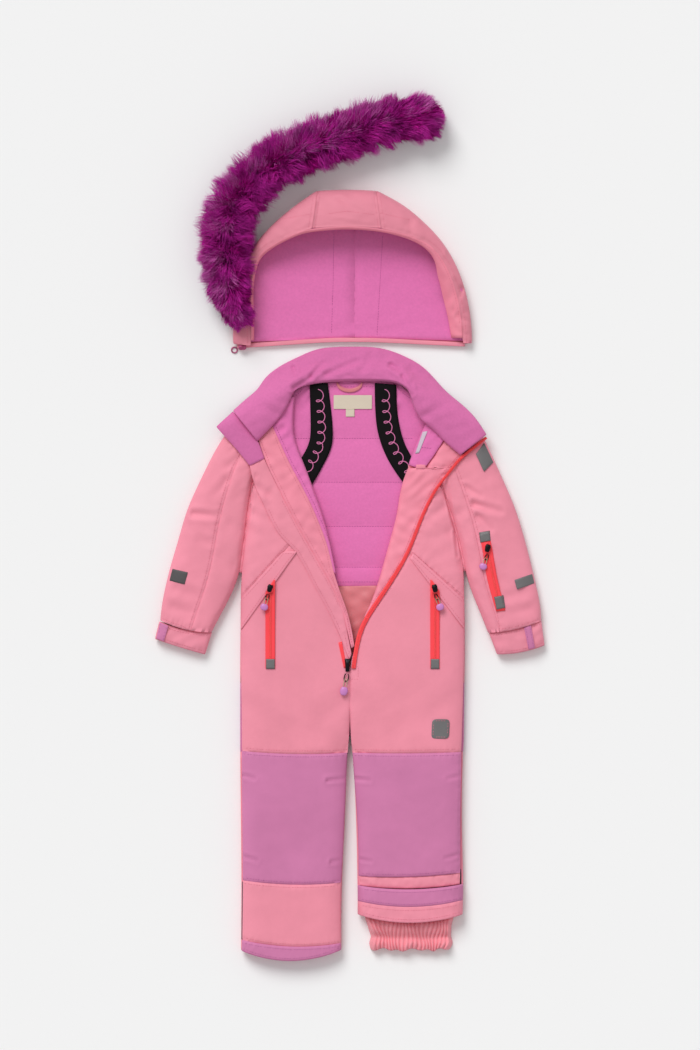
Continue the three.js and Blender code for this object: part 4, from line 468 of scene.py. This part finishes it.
def subdivided(mesh, levels):
    holder = bpy.data.objects.new("holder", mesh)
    bpy.context.scene.collection.objects.link(holder)
    modifier = holder.modifiers.new("round", "SUBSURF")
    modifier.levels = modifier.render_levels = levels
    bpy.context.view_layer.update()
    made = bpy.data.meshes.new_from_object(holder.evaluated_get(bpy.context.evaluated_depsgraph_get()))
    bpy.data.objects.remove(holder)
    return made


def perVertex(mesh, what):
    values = np.zeros(len(mesh.vertices) * 3)
    mesh.vertices.foreach_get(what, values)
    return values.reshape(-1, 3)


def tableCoords(mesh):
    return perVertex(mesh, "co") * 1000 - tableOrigin


def setCoords(mesh, points):
    mesh.vertices.foreach_set("co", ((points + tableOrigin) / 1000).ravel())
    mesh.update()


def camelName(node):
    first, *rest = node.split("_") if "_" in node else (node, "panel")  # so that no name meets a solid's
    return first + "".join(word.capitalize() for word in rest)


borders = {}
zipTops = {  # node: x, y and slope of the flap's edge, where the tape ends
    "pocket_zip_right": (-120.0, 227.0, 1.49),
    "pocket_zip_left": (129.0, 227.0, -1.49),
}
gaiterLook = {"elastic": -346.0, "reach": 7.0, "pinch": 4.5, "hem": -356.0, "gather": 2.2, "middle": 98.0}
seamLook = {"hold": 9.0, "steady": 0.8, "varies": 0.25, "beat": 3.1, "wander": 23.0}


def gatherGaiter(points, facing):  # uneven gathers, drawn in along the elastic
    look = gaiterLook
    x, y = points[:, 0].copy(), points[:, 1].copy()
    drawn = np.exp(-(((y - look["elastic"]) / look["reach"]) ** 2))
    points[:, 2] -= facing * drawn * look["pinch"]
    gathers = np.sin(x / 6.3 + 1.1 * np.sin(y / 13)) * np.sin(x / 17 + 2.0)
    points[:, 2] += facing * look["gather"] * gathers * (1 - 0.7 * drawn)
    points[:, 0] += 1.7 * np.sin(y / 8.5 + x / 9.0) + 1.2 * np.sin(x / 12.0 - y / 21)
    points[:, 0] -= (x - look["middle"]) * 0.025 * drawn
    hem = smooth((look["hem"] + 6 - y) / 8)
    points[:, 1] += hem * (1.5 * np.sin(x / 3.7) + 1.2 * np.sin(x / 7.9 + 1.0))


def softPiece(node):
    finish, levels, dip, reach, rise, width, length, area, liesOn, *held = clothPieces[node]
    cage, corners = cageOf(node)
    mesh = subdivided(cage, levels)
    points = tableCoords(mesh)
    normals = perVertex(mesh, "normal")
    facing = smooth((normals[:, 2] - 0.1) / 0.5)  # how far a point faces up
    low, high = points[:, 2].min(), points[:, 2].max()
    edge = low + 0.3 * (high - low)  # the panel's upper edges lie above this
    upper = [c for c in corners if (c[0].z + c[1].z) * 500 > edge and c[3] > 0.3]
    borders[node] = upper
    ends = [(*toTable(a * 1000), *toTable(b * 1000)) for a, b, *_ in upper]
    x, y = points[:, 0], points[:, 1]
    drop = np.zeros(len(points))
    hold = np.ones(len(points))
    if ends:
        away, along = awayFrom(x, y, ends)
        hold = smooth(away / seamLook["hold"])
        beat = seamLook["steady"] + seamLook["varies"] * np.sin(along / seamLook["beat"])
        drop += dip * (1 - smooth(away / reach)) * beat
        if dip > 0.4:
            bend = 1.7 * np.sin(along / seamLook["wander"])
            wave = np.sin(along * 2 * math.pi / pucker["length"] + bend)
            drop += pucker["height"] * wave * smooth(away / 2) * (1 - smooth(away / pucker["reach"]))
    drop -= rise * swellAt(x, y) * 1.6 * hold
    drop -= ripples.get(node, 0.0) * rippleAt(x, y) * smooth(away / 5 if ends else hold)
    if levels > 2 or node in ripples:
        drop += foldDepth(x, y) * mix(0.3, 1.0, hold)
    points[:, :2] += normals[:, :2] * grow.get(node, grow["usual"]) * (abs(normals[:, 2:3]) < 0.95)
    points[:, 2] = np.maximum(points[:, 2] - drop * facing, min(low, 0.0))
    if node == "gaiter_left":
        gatherGaiter(points, facing)
    if node in zipTops:
        anchorX, anchorY, slope = zipTops[node]
        points[:, 1] = np.minimum(points[:, 1], anchorY + (points[:, 0] - anchorX) * slope)
    setCoords(mesh, points)
    mesh.shade_smooth()
    piece = addPiece(camelName(node), mesh, finish, "suit", (node,))
    return piece


def metalPiece(node, finish, body):
    mesh = subdivided(cageOf(node)[0], 2)
    mesh.shade_smooth()
    addPiece(camelName(node), mesh, finish, body, (node,))


cloth = {node: softPiece(node) for node in clothPieces}
print("cloth panels:", len(cloth))


# The surface that details lie on
def surfaceOf(pieces):
    points, faces = [], []
    for piece in pieces:
        first = len(points)
        points += [v.co.copy() for v in piece.data.vertices]
        faces += [[first + i for i in face.vertices] for face in piece.data.polygons]
    return BVHTree.FromPolygons(points, faces)


allCloth = surfaceOf(cloth.values())
hoodParts = ("hood_side_right", "hood_centre", "hood_facing", "hood_lining", "hood_zip")
hoodSurface = surfaceOf([cloth[node] for node in hoodParts])
rayStart = 300.0  # well above everything


def heightAt(x, y, surface=allCloth, default=0.0):
    hit = surface.ray_cast(toRow(x, y, rayStart), Vector((0, 0, -1)))
    return hit[0].z * 1000 if hit[0] else default


rodFaces = tubeFaces(4, 4)


class Bits:  # many small closed shapes gathered into one mesh
    def __init__(self):
        self.points, self.faces = [], []

    def add(self, points, faces):
        first = len(self.points)
        self.points += points
        self.faces += [tuple(first + i for i in face) for face in faces]

    def rod(self, a, b, wide, high, taper=0.4):
        along = Vector(b) - Vector(a)
        side = Vector((-along.y, along.x, 0)).normalized() * wide / 2
        up = Vector((0, 0, high / 2))
        points = []
        for share, size in ((0.0, taper), (0.2, 1.0), (0.8, 1.0), (1.0, taper)):
            middle = Vector(a) + along * share
            points += [middle + side * size, middle + up * size, middle - side * size, middle - up * size]
        self.add([tuple(p) for p in points], rodFaces)

    def piece(self, name, finish, body="suit"):
        return smoothPiece(name, self.points, self.faces, finish, body)


def measured(line):  # a table of points, and how far along the line each one is
    table = np.array(line, float)
    return table, np.concatenate([[0], np.cumsum(np.hypot(*np.diff(table[:, :2], axis=0).T))])


def placeAt(s, table, steps):
    return np.stack([np.interp(s, steps, column) for column in table.T], axis=-1)


# Narrow cloth bands: underarm gussets, neck seam, hidden facing seam and the dark ankle zips
bands = {  # name: line, half width, bottom, top (None: on what lies below), finish, flat width, length
    "gussetRight": (
        [(-156, 386), (-162, 345), (-167, 308), (-172, 268), (-176, 236)], 8, 2, 12.5, "shell", 20, 154,
    ),
    "gussetLeft": ([(146, 380), (157, 345), (168, 312), (177, 275), (183, 238)], 8, 2, 12, "shell", 20, 150),
    "neckSeam": ([(-66, 538), (-30, 541), (5, 542), (40, 541), (76, 538)], 6, 3, 9, "fleece", 15, 144),
    "facingSeam": ([(93, 404.5), (107, 405), (121, 405.5)], 3.5, None, 0.7, "facing", 0, 0),
    "ankleZipRight": ([(-171.5, -258), (-172, -305), (-172.5, -350)], 1.1, None, 0.9, "ankleZip", 0, 0),
    "ankleZipLeft": ([(176.5, -238), (177, -250), (177, -262)], 1.1, None, 0.9, "ankleZip", 0, 0),
}
bandShape = [(-1, 0), (-0.92, 0.6), (-0.5, 0.93), (0, 1), (0.5, 0.93), (0.92, 0.6), (1, 0)]


def band(name):
    line, half, low, high, finish, width, length = bands[name]
    table, steps = measured(line)
    places = np.linspace(0, steps[-1], max(12, int(steps[-1] / 5)))
    points = []
    for place in places:
        x, y = placeAt(place, table, steps)
        dx, dy = placeAt(place + 1, table, steps) - placeAt(place - 1, table, steps)
        size = math.hypot(dx, dy)
        base = heightAt(x, y) - 0.4 if low is None else low
        top = base + high + 0.4 if low is None else high + 1.2 * math.sin(place / 5.5) * math.sin(place / 13)
        for u, v in bandShape:
            points.append((x - dy / size * half * u, y + dx / size * half * u, base + (top - base) * v))
    faces = tubeFaces(len(places), len(bandShape), inverted=True)
    piece = smoothPiece(name, points, faces, finish)


for name in bands:
    band(name)
print("bands laid")

# Topstitching, just inside the panels' edges
stitch = {"long": 2.8, "gap": 1.3, "thick": 0.7, "high": 0.5, "lift": 0.1}
allRound = "up down left right"
stitchedEdges = bothSides({  # distance from the panel's edge, which edges (by the way out of the panel)
    "chest_both": (4.5, "down"), "hip_both": (5, "up down"), "knee_both": (4, "up down"),
    "shin_right": (4, "up down"), "hem_both": (4, "up down"), "turn_up_left": (5, "up down"),
    "storm_flap": (3.6, "left right down"), "pocket_flap_both": (3.4, allRound),
    "facing_right": (4, "left right"), "facing_left": (4.5, "left right"), "cuff_both": (4, "up down"),
    "sleeve_upper_both": (4, "left right down"), "hood_facing": (3, allRound),
    "hood_side_both": (4, "left right up"), "hood_centre": (3.5, "left right"), "back_lining": (6, "down up"),
    "thigh_patch": (2, allRound), "cuff_tab_both": (1.8, allRound), "lining_edge_right": (4, "left"),
})
ways = {"up": (0, 1), "down": (0, -1), "left": (-1, 0), "right": (1, 0)}
threads = {name: Bits() for name in ("shellThread", "mauveThread", "fleeceThread")}
threadOf = {"mauve": "mauveThread", "fleece": "fleeceThread"}  # by the cloth's finish, otherwise shellThread


def joined(run, left):  # adds one of the edges that are left to either end of the run
    for i, (c, d, way) in enumerate(left):
        for here, there in ((c, d), (d, c)):
            for end, spot in ((-1, len(run)), (0, 0)):
                if (run[end][0] - here).length < 1e-5:
                    run.insert(spot, (there, way))
                    left.pop(i)
                    return True
    return False


def runsOf(edges):
    runs = []
    left = list(edges)
    while left:
        a, b, inward = left.pop()
        run = [(a, inward), (b, inward)]
        while joined(run, left):
            continue
        runs.append(run)
    return runs


ownSurfaces = {}


def seenHeight(x, y, node):
    if node not in ownSurfaces:
        ownSurfaces[node] = surfaceOf([cloth[node]])
    own = heightAt(x, y, ownSurfaces[node], -1)
    return own if own > 0 and heightAt(x, y) - own < 0.3 else -1  # -1 where another piece covers it


def sewAlong(path, node):
    bits = threads[threadOf.get(clothPieces[node][0], "shellThread")]
    places = [Vector((p[0], p[1], 0)) for p in path]
    step = stitch["long"] + stitch["gap"]
    s = 0.0
    for a, b in zip(places, places[1:]):
        length = (b - a).length
        if length < 1e-6:
            continue
        way = (b - a) / length
        while s + stitch["long"] <= length:
            start, end = a + way * s, a + way * (s + stitch["long"])
            z0, z1 = seenHeight(start.x, start.y, node), seenHeight(end.x, end.y, node)
            if z0 > 0 and z1 > 0 and abs(z1 - z0) < 2.5:
                start.z, end.z = z0 + stitch["lift"], z1 + stitch["lift"]
                bits.rod(start, end, stitch["thick"], stitch["high"])
            s += step
        s = max(0.0, s - length)


def sewEdges(node, inset, sides):
    wanted = [Vector((*ways[side], 0)) for side in sides.split()]
    chosen = [border[:3] for border in borders[node] if any(-border[2].dot(way) > 0.55 for way in wanted)]
    for run in runsOf(chosen):
        path = []
        for (point, inward), (_, before) in zip(run, run[:1] + run[:-1]):
            way = inward + before
            way.z = 0
            if way.length > 0.2:
                place = point * 1000 + way.normalized() * inset
                path.append(toTable(place))
        sewAlong(path, node)


for node, (inset, sides) in stitchedEdges.items():
    sewEdges(node, inset, sides)
sewnLines = [  # further rows of stitches: cloth, points x, y
    ("hip_left", [(2, 86), (13, 86), (13, 66), (1.5, 66)]),
    ("hood_centre", [(-34, 808), (-5, 812), (42, 806)]),
    ("hood_side_right", [(-108, 800), (-60, 808), (-34, 812)]),
    ("hood_side_left", [(44, 810), (98, 798)]),
    ("hood_lining", [(-25.6, 778), (-27, 700), (-29.6, 618)]),
    ("hood_lining", [(52.3, 774), (48, 700), (43.2, 614)]),
    *[("back_lining", [(-100, y), (100, y)]) for y in (450.4, 380.5, 309.8, 244.6)],
    ("lining_edge_left", [(94, 438), (133, 434)]),
]
for node, line in sewnLines:
    sewAlong(line, node)
for name, bits in threads.items():
    bits.piece("stitches" + name.replace("Thread", "").capitalize(), name)
print("stitches sewn")

# Zips: teeth, tapes beside them, grey ends and sliders
mainZipLine = [
    (5.5, 82.5), (8.3, 103.5), (14.6, 136), (27.7, 165.5), (61.9, 216.7), (92.7, 268.2), (114.2, 323.9),
    (135.6, 366.8), (156.9, 394.5), (178.2, 420.4), (200.7, 437.8), (218.2, 452),
]
closedZips = [  # pocket right, pocket left and sleeve, from the bottom to the top
    [(-127.2, 84), (-127.2, 205)], [(135.6, 84), (135.6, 205)], [(239.8, 178), (230, 222), (220.5, 268)],
]
toothLook = {
    "pitch": 1.7, "wide": 0.95, "high": 1.0, "taper": 0.7,
    "closed": (0.6, 2.0, 0.35), "open": (0.4, 2.4, 0.3),  # how far back and out from the middle, lift
}


def alongLine(line, pitch):
    places = [Vector((x, y, 0)) for x, y in line]
    for a, b in zip(places, places[1:]):
        length = (b - a).length
        way = (b - a) / length
        for i in range(int(length / pitch)):
            yield a + way * (i + 0.5) * pitch, way


teeth = Bits()


def addTooth(place, side, back, out, lift):
    z = heightAt(place.x, place.y) + lift
    a, b = place - side * back, place + side * out
    teeth.rod((a.x, a.y, z), (b.x, b.y, z), toothLook["wide"], toothLook["high"], toothLook["taper"])


for line in closedZips:
    for i, (place, way) in enumerate(alongLine(line, toothLook["pitch"] / 2)):
        addTooth(place, Vector((-way.y, way.x, 0)) * (1 if i % 2 else -1), *toothLook["closed"])
for place, way in alongLine(mainZipLine, toothLook["pitch"]):
    addTooth(place, Vector((-way.y, way.x, 0)), *toothLook["open"])
teeth.piece("zipTeeth", "neonTeeth")


patchLook = {"thick": 0.9, "rim": 0.75, "divisions": 10, "lift": 0.25}


def patch(name, corners, finish):
    (ax, ay), (bx, by), (cx, cy), (dx, dy) = corners  # lower left, lower right, upper right, upper left
    divisions = patchLook["divisions"]
    points, faces = [], []
    count = divisions + 1
    for layer in (0, 1):
        for j in range(count):
            for i in range(count):
                u, v = i / divisions, j / divisions
                x = mix(mix(ax, bx, u), mix(dx, cx, u), v)
                y = mix(mix(ay, by, u), mix(dy, cy, u), v)
                z = heightAt(x, y) + patchLook["lift"]
                if layer:
                    onRim = min(i, j, divisions - i, divisions - j) == 0
                    z += patchLook["thick"] * (patchLook["rim"] if onRim else 1.0)
                points.append((x, y, z))

    def at(layer, i, j):
        return layer * count * count + j * count + i

    for j in range(divisions):
        for i in range(divisions):
            faces.append((at(1, i, j), at(1, i + 1, j), at(1, i + 1, j + 1), at(1, i, j + 1)))
            faces.append((at(0, i, j + 1), at(0, i + 1, j + 1), at(0, i + 1, j), at(0, i, j)))
    steps = range(divisions)
    rim = [(i, 0) for i in steps] + [(divisions, i) for i in steps]
    rim += [(divisions - i, divisions) for i in steps] + [(0, divisions - i) for i in steps]
    for a, b in zip(rim, rim[1:] + rim[:1]):
        faces.append((at(0, *a), at(0, *b), at(1, *b), at(1, *a)))
    return smoothPiece(name, points, faces, finish)


patches = {  # name: corners from lower left anticlockwise, finish, flat width, length, lies on
    "zipEndRight": ([(-134, 82), (-120, 82), (-120, 98), (-134, 98)], "reflective", 14, 16, "hipRight"),
    "zipEndLeft": ([(129, 82), (142.4, 82), (142.4, 98), (129, 98)], "reflective", 13.4, 16, "hipLeft"),
    "sleeveZipEnd": (
        [(234, 177), (248, 180), (245, 200), (230, 197)], "reflective", 15, 20, "sleeveUpperLeft",
    ),
    "sleeveZipTop": (
        [(208, 284), (224.5, 287), (223, 303), (206, 300)], "reflective", 17, 16, "sleeveUpperLeft",
    ),
    "mainZipTapeRight": ([(-10, 84), (-5, 84), (-13, 126), (-18.5, 124)], "neonTape", 5, 42, ""),
    "sizeTab": ([(-6.7, 485), (7.2, 485), (7.2, 498), (-6.7, 498)], "label", 14, 13, "neckLabel"),
    "hookStrip": ([(104, 426), (110, 427), (124, 462), (116, 461)], "hookTape", 7, 36, ""),
}
for name, (corners, finish, width, length, liesOn) in patches.items():
    piece = patch(name, corners, finish)


sliderLook = {
    "wide": 8.5, "long": 13.5, "high": 3.4, "sunk": 1.2,
    "outline": [  # shares of the width and the length
        (-0.28, -0.36), (0.28, -0.36), (0.42, -0.22), (0.5, 0.25),
        (0.36, 0.5), (-0.36, 0.5), (-0.5, 0.25), (-0.42, -0.22),
    ],
    "rings": [(1.0, 0.0), (1.08, 0.35), (1.0, 0.75), (0.72, 1.0)],  # scale, share of the height
    "bridge": [(0.36, 0.1), (0.2, 1.2), (0.1, 1.2), (-0.04, 0.1)],  # ends short of the pull's swing
    "bridgeWide": 2.4, "bridgeHigh": 1.2,
}


def sliderBody(name, x, y, angle, finish):
    look = sliderLook
    wide, long, high = look["wide"], look["long"], look["high"]
    cosine, sine = math.cos(math.radians(angle)), math.sin(math.radians(angle))
    base = heightAt(x, y) - look["sunk"]

    def at(px, py, up):
        return (x + px * cosine - py * sine, y + px * sine + py * cosine, base + up)

    points = [
        at(u * wide * scale, v * long * scale, level * high)
        for scale, level in look["rings"]
        for u, v in look["outline"]
    ]
    bits = Bits()
    bits.add(points, tubeFaces(len(look["rings"]), len(look["outline"])))
    arch = [at(0, v * long, high + up) for v, up in look["bridge"]]
    for a, b in zip(arch, arch[1:]):
        bits.rod(a, b, look["bridgeWide"], look["bridgeHigh"], 0.8)
    bits.piece(name, finish)


sliders = {  # name: x, y, angle, finish
    "pocketSliderRight": (-128, 210, -14, "darkMetal"), "pocketSliderLeft": (135.6, 210, 12, "darkMetal"),
    "sleeveSlider": (219.5, 274, -14, "darkMetal"), "hoodSlider": (-171, 596, 90, "roseMetal"),
}
for name, (x, y, angle, finish) in sliders.items():
    sliderBody(name, x, y, angle, finish)
metalPiece("main_slider", "darkMetal", "suit")
print("zips detailed")

# Pulls: metal tab, twisted cord loop and moulded cap, each pull on its own body
pulls = ("main_pull", "pocket_pull_right", "pocket_pull_left", "sleeve_pull")
pullLook = {
    "tab": [(0.065, 0.35), (0.14, 0.9), (0.3, 1.0), (0.38, 0.6), (0.4, 0.0)],  # shares of length, half width
    "tabHalf": 2.5, "mainTabHalf": 3.5, "tabUp": 0.9, "tabWide": 1.7, "tabHigh": 1.3,
    "cord": 1.25, "cordFrom": 0.27, "cordTo": 0.84, "cordUp": 1.7, "turns": 26, "twist": 0.25,
    "capFrom": 0.64, "capTo": 0.995, "capUp": 2.2, "capHalf": 6.4, "capThick": 5.0,
    "capRings": 7, "capAround": 14,
}


def pullPiece(node):
    look = pullLook
    name = camelName(node)
    points = tableCoords(nodes[node].data)
    spread = points - points.mean(axis=0)
    spread[:, 2] = 0
    axis = np.linalg.svd(spread, full_matrices=False)[2][0]
    axis = axis if axis[1] < 0 else -axis
    side = np.array([-axis[1], axis[0], 0])
    reach = spread @ axis
    start = points.mean(axis=0) + axis * reach.min()
    length = reach.max() - reach.min()
    base = points[:, 2].min()

    def place(s, off, up):
        p = start + axis * s * length + side * off
        return (p[0], p[1], base + up)

    tab, cord, cap = Bits(), Bits(), Bits()
    half = look["mainTabHalf"] if node == "main_pull" else look["tabHalf"]
    for sign in (-1, 1):
        outline = [place(share, sign * out * half, look["tabUp"]) for share, out in look["tab"]]
        for a, b in zip(outline, outline[1:]):
            tab.rod(a, b, look["tabWide"], look["tabHigh"], 0.9)
    for strand in (-1, 1):
        last = None
        for i in range(look["turns"] + 1):
            t = i / look["turns"]
            off = strand * (0.5 + 1.9 * math.sin(math.pi * min(1, 0.15 + 0.85 * t)) ** 0.8)
            off += look["twist"] * math.sin(t * 40)
            up = look["cordUp"] + look["twist"] * math.cos(t * 40)
            here = place(mix(look["cordFrom"], look["cordTo"], t), off, up)
            if last:
                cord.rod(last, here, look["cord"], look["cord"], 0.85)
            last = here
    rings, around = look["capRings"], look["capAround"]
    points = []
    for i in range(rings):
        t = i / (rings - 1)
        bulge = math.sin(math.pi * mix(0.16, 0.86, t))
        for k in range(around):
            angle = 2 * math.pi * k / around
            off = look["capHalf"] * bulge**0.75 * math.cos(angle)
            up = look["capUp"] + look["capThick"] / 2 * bulge**0.6 * math.sin(angle)
            points.append(place(mix(look["capFrom"], look["capTo"], t), off, up))
    cap.add(points, tubeFaces(rings, around))
    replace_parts(cap.piece(name + "Cap", "pullCap", node), node)
    cord.piece(name + "Cord", "pullCord", node)
    tab.piece(name + "Tab", "darkMetal", node)


for node in pulls:
    pullPiece(node)
metalPiece("hood_pull", "roseMetal", "hood_pull")
print("pulls made")

# Woven line on the braces: a looping wave
braces = {
    "Right": [(-50, 536), (-47, 500), (-45, 467), (-47, 441), (-58, 417), (-73, 393), (-86, 375)],
    "Left": [(56.8, 536), (57.5, 500), (61.5, 466), (69.5, 439), (81, 416), (97, 392), (111, 376)],
}
braceLine = {
    "wide": 1.5, "high": 0.5, "lift": 0.12,
    "sway": 6.0, "loop": 5.0, "pitch": 17.0, "margin": 12.0, "steps": 260,
}
braceSurface = surfaceOf([cloth["webbing_right"], cloth["webbing_left"]])


def braceWave(side):
    places = [Vector((x, y, 0)) for x, y in braces[side]]
    total = sum((b - a).length for a, b in zip(places, places[1:]))

    def onLine(s):
        s = max(0.0, min(total - 1e-6, s))
        for a, b in zip(places, places[1:]):
            length = (b - a).length
            if s <= length:
                return a + (b - a) * (s / length), (b - a) / length
            s -= length
        return places[-1], (places[-1] - places[-2]).normalized()

    bits = Bits()
    last = None
    for i in range(braceLine["steps"] + 1):
        s = mix(braceLine["margin"], total - braceLine["margin"], i / braceLine["steps"])
        turn = 2 * math.pi * s / braceLine["pitch"]
        middle, way = onLine(s + braceLine["loop"] * math.sin(turn))
        across = Vector((-way.y, way.x, 0))
        place = middle + across * braceLine["sway"] * math.cos(turn)
        here = (place.x, place.y, heightAt(place.x, place.y, braceSurface, -1) + braceLine["lift"])
        if last and here[2] > 0 and last[2] > 0:
            bits.rod(last, here, braceLine["wide"], braceLine["high"], 0.95)
        last = here
    bits.piece("braceLine" + side, "webLine")


for side in braces:
    braceWave(side)
print("braces lined")

# Fur: a soft core and three coats of hair, the pale one a painted highlight on the lit side
ruffLine = [  # x, y, half width, height
    (139.2, 955.2, 20, 40), (124, 959, 38, 54), (92, 961, 43, 60), (28.8, 948.3, 45, 62),
    (-34.6, 922.9, 45, 60), (-97.8, 900.8, 45, 62), (-145.3, 869.1, 45, 60), (-183.2, 825, 45, 62),
    (-199, 771.2, 45, 60), (-195.8, 717.3, 43, 61), (-186.4, 666.7, 34, 58), (-176, 644, 24, 52),
    (-170.6, 632, 12, 42),
]
allOver = (-0.3, math.pi + 0.3)  # which sides of the core carry hair, from one edge over the top to the other
coats = {
    "furUnderCoat": {
        "hairs": 25000, "tufts": 520, "long": (19, 28), "thick": 1.35, "spread": 8.0, "clump": 0.5,
        "finish": "furDeep", "seed": 11, "side": allOver,
    },
    "furGuardHairs": {
        "hairs": 19000, "tufts": 300, "long": (26, 40), "thick": 0.9, "spread": 7.5, "clump": 0.7,
        "finish": "furTip", "seed": 23, "side": allOver,
    },
    # pale tips on the lit, outer side only: a painted highlight
    "furHighlightTips": {
        "hairs": 6500, "tufts": 150, "long": (26, 40), "thick": 0.8, "spread": 7.0, "clump": 0.65,
        "finish": "furPale", "seed": 5, "side": (0.5 * math.pi, math.pi + 0.3),
    },
}
hairLook = {
    "rootWide": 0.40, "rootLow": 0.42, "rootHigh": 0.30, "lift": 0.62, "floor": 2.0, "ceiling": 1.1,
    "arch": 0.30, "sweepVaries": 0.35, "leanVaries": 0.3, "sweepStray": 0.15, "leanStray": 0.12,
    "taper": ((0.0, 0.8), (0.4, 1.0), (0.75, 0.6), (1.0, 0.0)),  # share of the hair, of its thickness
}
sweepPlaces = [0, 0.05, 0.3, 0.6, 0.85, 1.0]  # shares of the strip's length
sweepAmounts = [-2.4, -1.0, -0.55, -0.15, 0.3, 1.6]  # how far the hair leans along the strip there
ruffTable, ruffSteps = measured(ruffLine)


def ruffAt(s):
    return placeAt(s, ruffTable, ruffSteps)


coreLook = {"rings": 60, "around": 14, "margin": 14, "wide": 0.42, "high": 0.75, "lumps": 0.08}


def ruffCore():
    look = coreLook
    margin = look["margin"]
    points = []
    for s in np.linspace(margin, ruffSteps[-1] - margin, look["rings"]):
        x, y, half, high = ruffAt(s)
        way = (ruffAt(s + 4) - ruffAt(s - 4))[:2]
        way /= np.linalg.norm(way)
        low = heightAt(x, y, hoodSurface)
        middle = max(low + 7, 0.46 * high)
        for k in range(look["around"]):
            angle = 2 * math.pi * k / look["around"]
            lump = 1 + look["lumps"] * math.sin(s / 9 + k * 1.7)
            across = half * look["wide"] * math.cos(angle) * lump
            up = (middle - low - 3) * look["high"] * math.sin(angle) * lump
            points.append((x - way[1] * across, y + way[0] * across, max(low + 1, middle + up)))
    faces = tubeFaces(look["rings"], look["around"], inverted=True)
    core = smoothPiece("furCore", points, faces, "furDeep", "suit", ("fur_ruff",))


def hairEnds(s, angle, sweep, lean, long):
    at = ruffAt(s)
    way = (ruffAt(s + 4) - ruffAt(s - 4))[:, :2]
    way /= np.linalg.norm(way, axis=1)[:, None]
    across = np.stack([-way[:, 1], way[:, 0]], axis=1)
    half, high = at[:, 2], at[:, 3]
    off = half * hairLook["rootWide"] * np.cos(angle)
    level = high * (hairLook["rootLow"] + hairLook["rootHigh"] * np.sin(angle))
    root = np.concatenate([at[:, :2] + across * off[:, None], level[:, None]], axis=1)
    flat = np.cos(angle + lean)[:, None] * across + sweep[:, None] * way
    out = np.concatenate([flat, hairLook["lift"] * np.sin(angle + lean)[:, None]], axis=1)
    out /= np.linalg.norm(out, axis=1)[:, None]
    tip = root + out * (long * np.clip(half / 43, 0.5, 1.0))[:, None]
    tip[:, 2] = np.clip(tip[:, 2], hairLook["floor"], high * hairLook["ceiling"])
    return root, tip


def coat(name):
    look = coats[name]
    random = np.random.default_rng(look["seed"])
    count, tufts = look["hairs"], look["tufts"]
    total = ruffSteps[-1]
    tuftS = random.uniform(4, total - 4, tufts)
    tuftAngle = random.uniform(*look["side"], tufts)
    tuftSweep = np.interp(tuftS / total, sweepPlaces, sweepAmounts)
    tuftSweep += random.normal(0, hairLook["sweepVaries"], tufts)
    tuftLean = random.normal(0, hairLook["leanVaries"], tufts)
    tuftLong = random.uniform(*look["long"], tufts)
    _, tuftTip = hairEnds(tuftS, tuftAngle, tuftSweep, tuftLean, tuftLong)
    pick = random.integers(0, tufts, count)
    s = np.clip(tuftS[pick] + random.normal(0, look["spread"], count), 3, total - 3)
    turn = look["spread"] / 17  # 17 mm round the core is one radian
    angle = np.clip(tuftAngle[pick] + random.normal(0, turn, count), *look["side"])
    sweep = tuftSweep[pick] + random.normal(0, hairLook["sweepStray"], count)
    long = tuftLong[pick] * random.uniform(0.7, 1.1, count)
    lean = tuftLean[pick] + random.normal(0, hairLook["leanStray"], count)
    root, tip = hairEnds(s, angle, sweep, lean, long)
    gather = look["clump"] * random.uniform(0.5, 1.0, count)[:, None]
    tip = tip * (1 - gather) + tuftTip[pick] * gather
    side = np.cross(tip - root, random.normal(0, 1, (count, 3)))
    side /= np.linalg.norm(side, axis=1)[:, None]
    arch = np.stack([random.normal(0, 2, count), random.normal(0, 2, count), hairLook["arch"] * long], axis=1)
    rows = []
    for level, wide in hairLook["taper"]:
        centre = root * (1 - level) + tip * level + arch * level * (1 - level)
        rows.append((centre, side * wide * look["thick"] / 2))
    strands = [centre + half * sign for centre, half in rows[:3] for sign in (-1, 1)]
    points = np.stack([*strands, rows[3][0]], axis=1).reshape(-1, 3)
    first = np.arange(count) * 7
    quads = np.stack([first, first + 1, first + 3, first + 2], axis=1)
    quads = np.concatenate([quads, np.stack([first + 2, first + 3, first + 5, first + 4], axis=1)])
    tips = np.stack([first + 4, first + 5, first + 6], axis=1)
    mesh = bpy.data.meshes.new(name)
    mesh.from_pydata(((points + tableOrigin) / 1000).tolist(), [], quads.tolist() + tips.tolist())
    mesh.shade_smooth()
    return addPiece(name, mesh, look["finish"])


ruffCore()
for name in coats:
    coat(name)
print("fur combed")
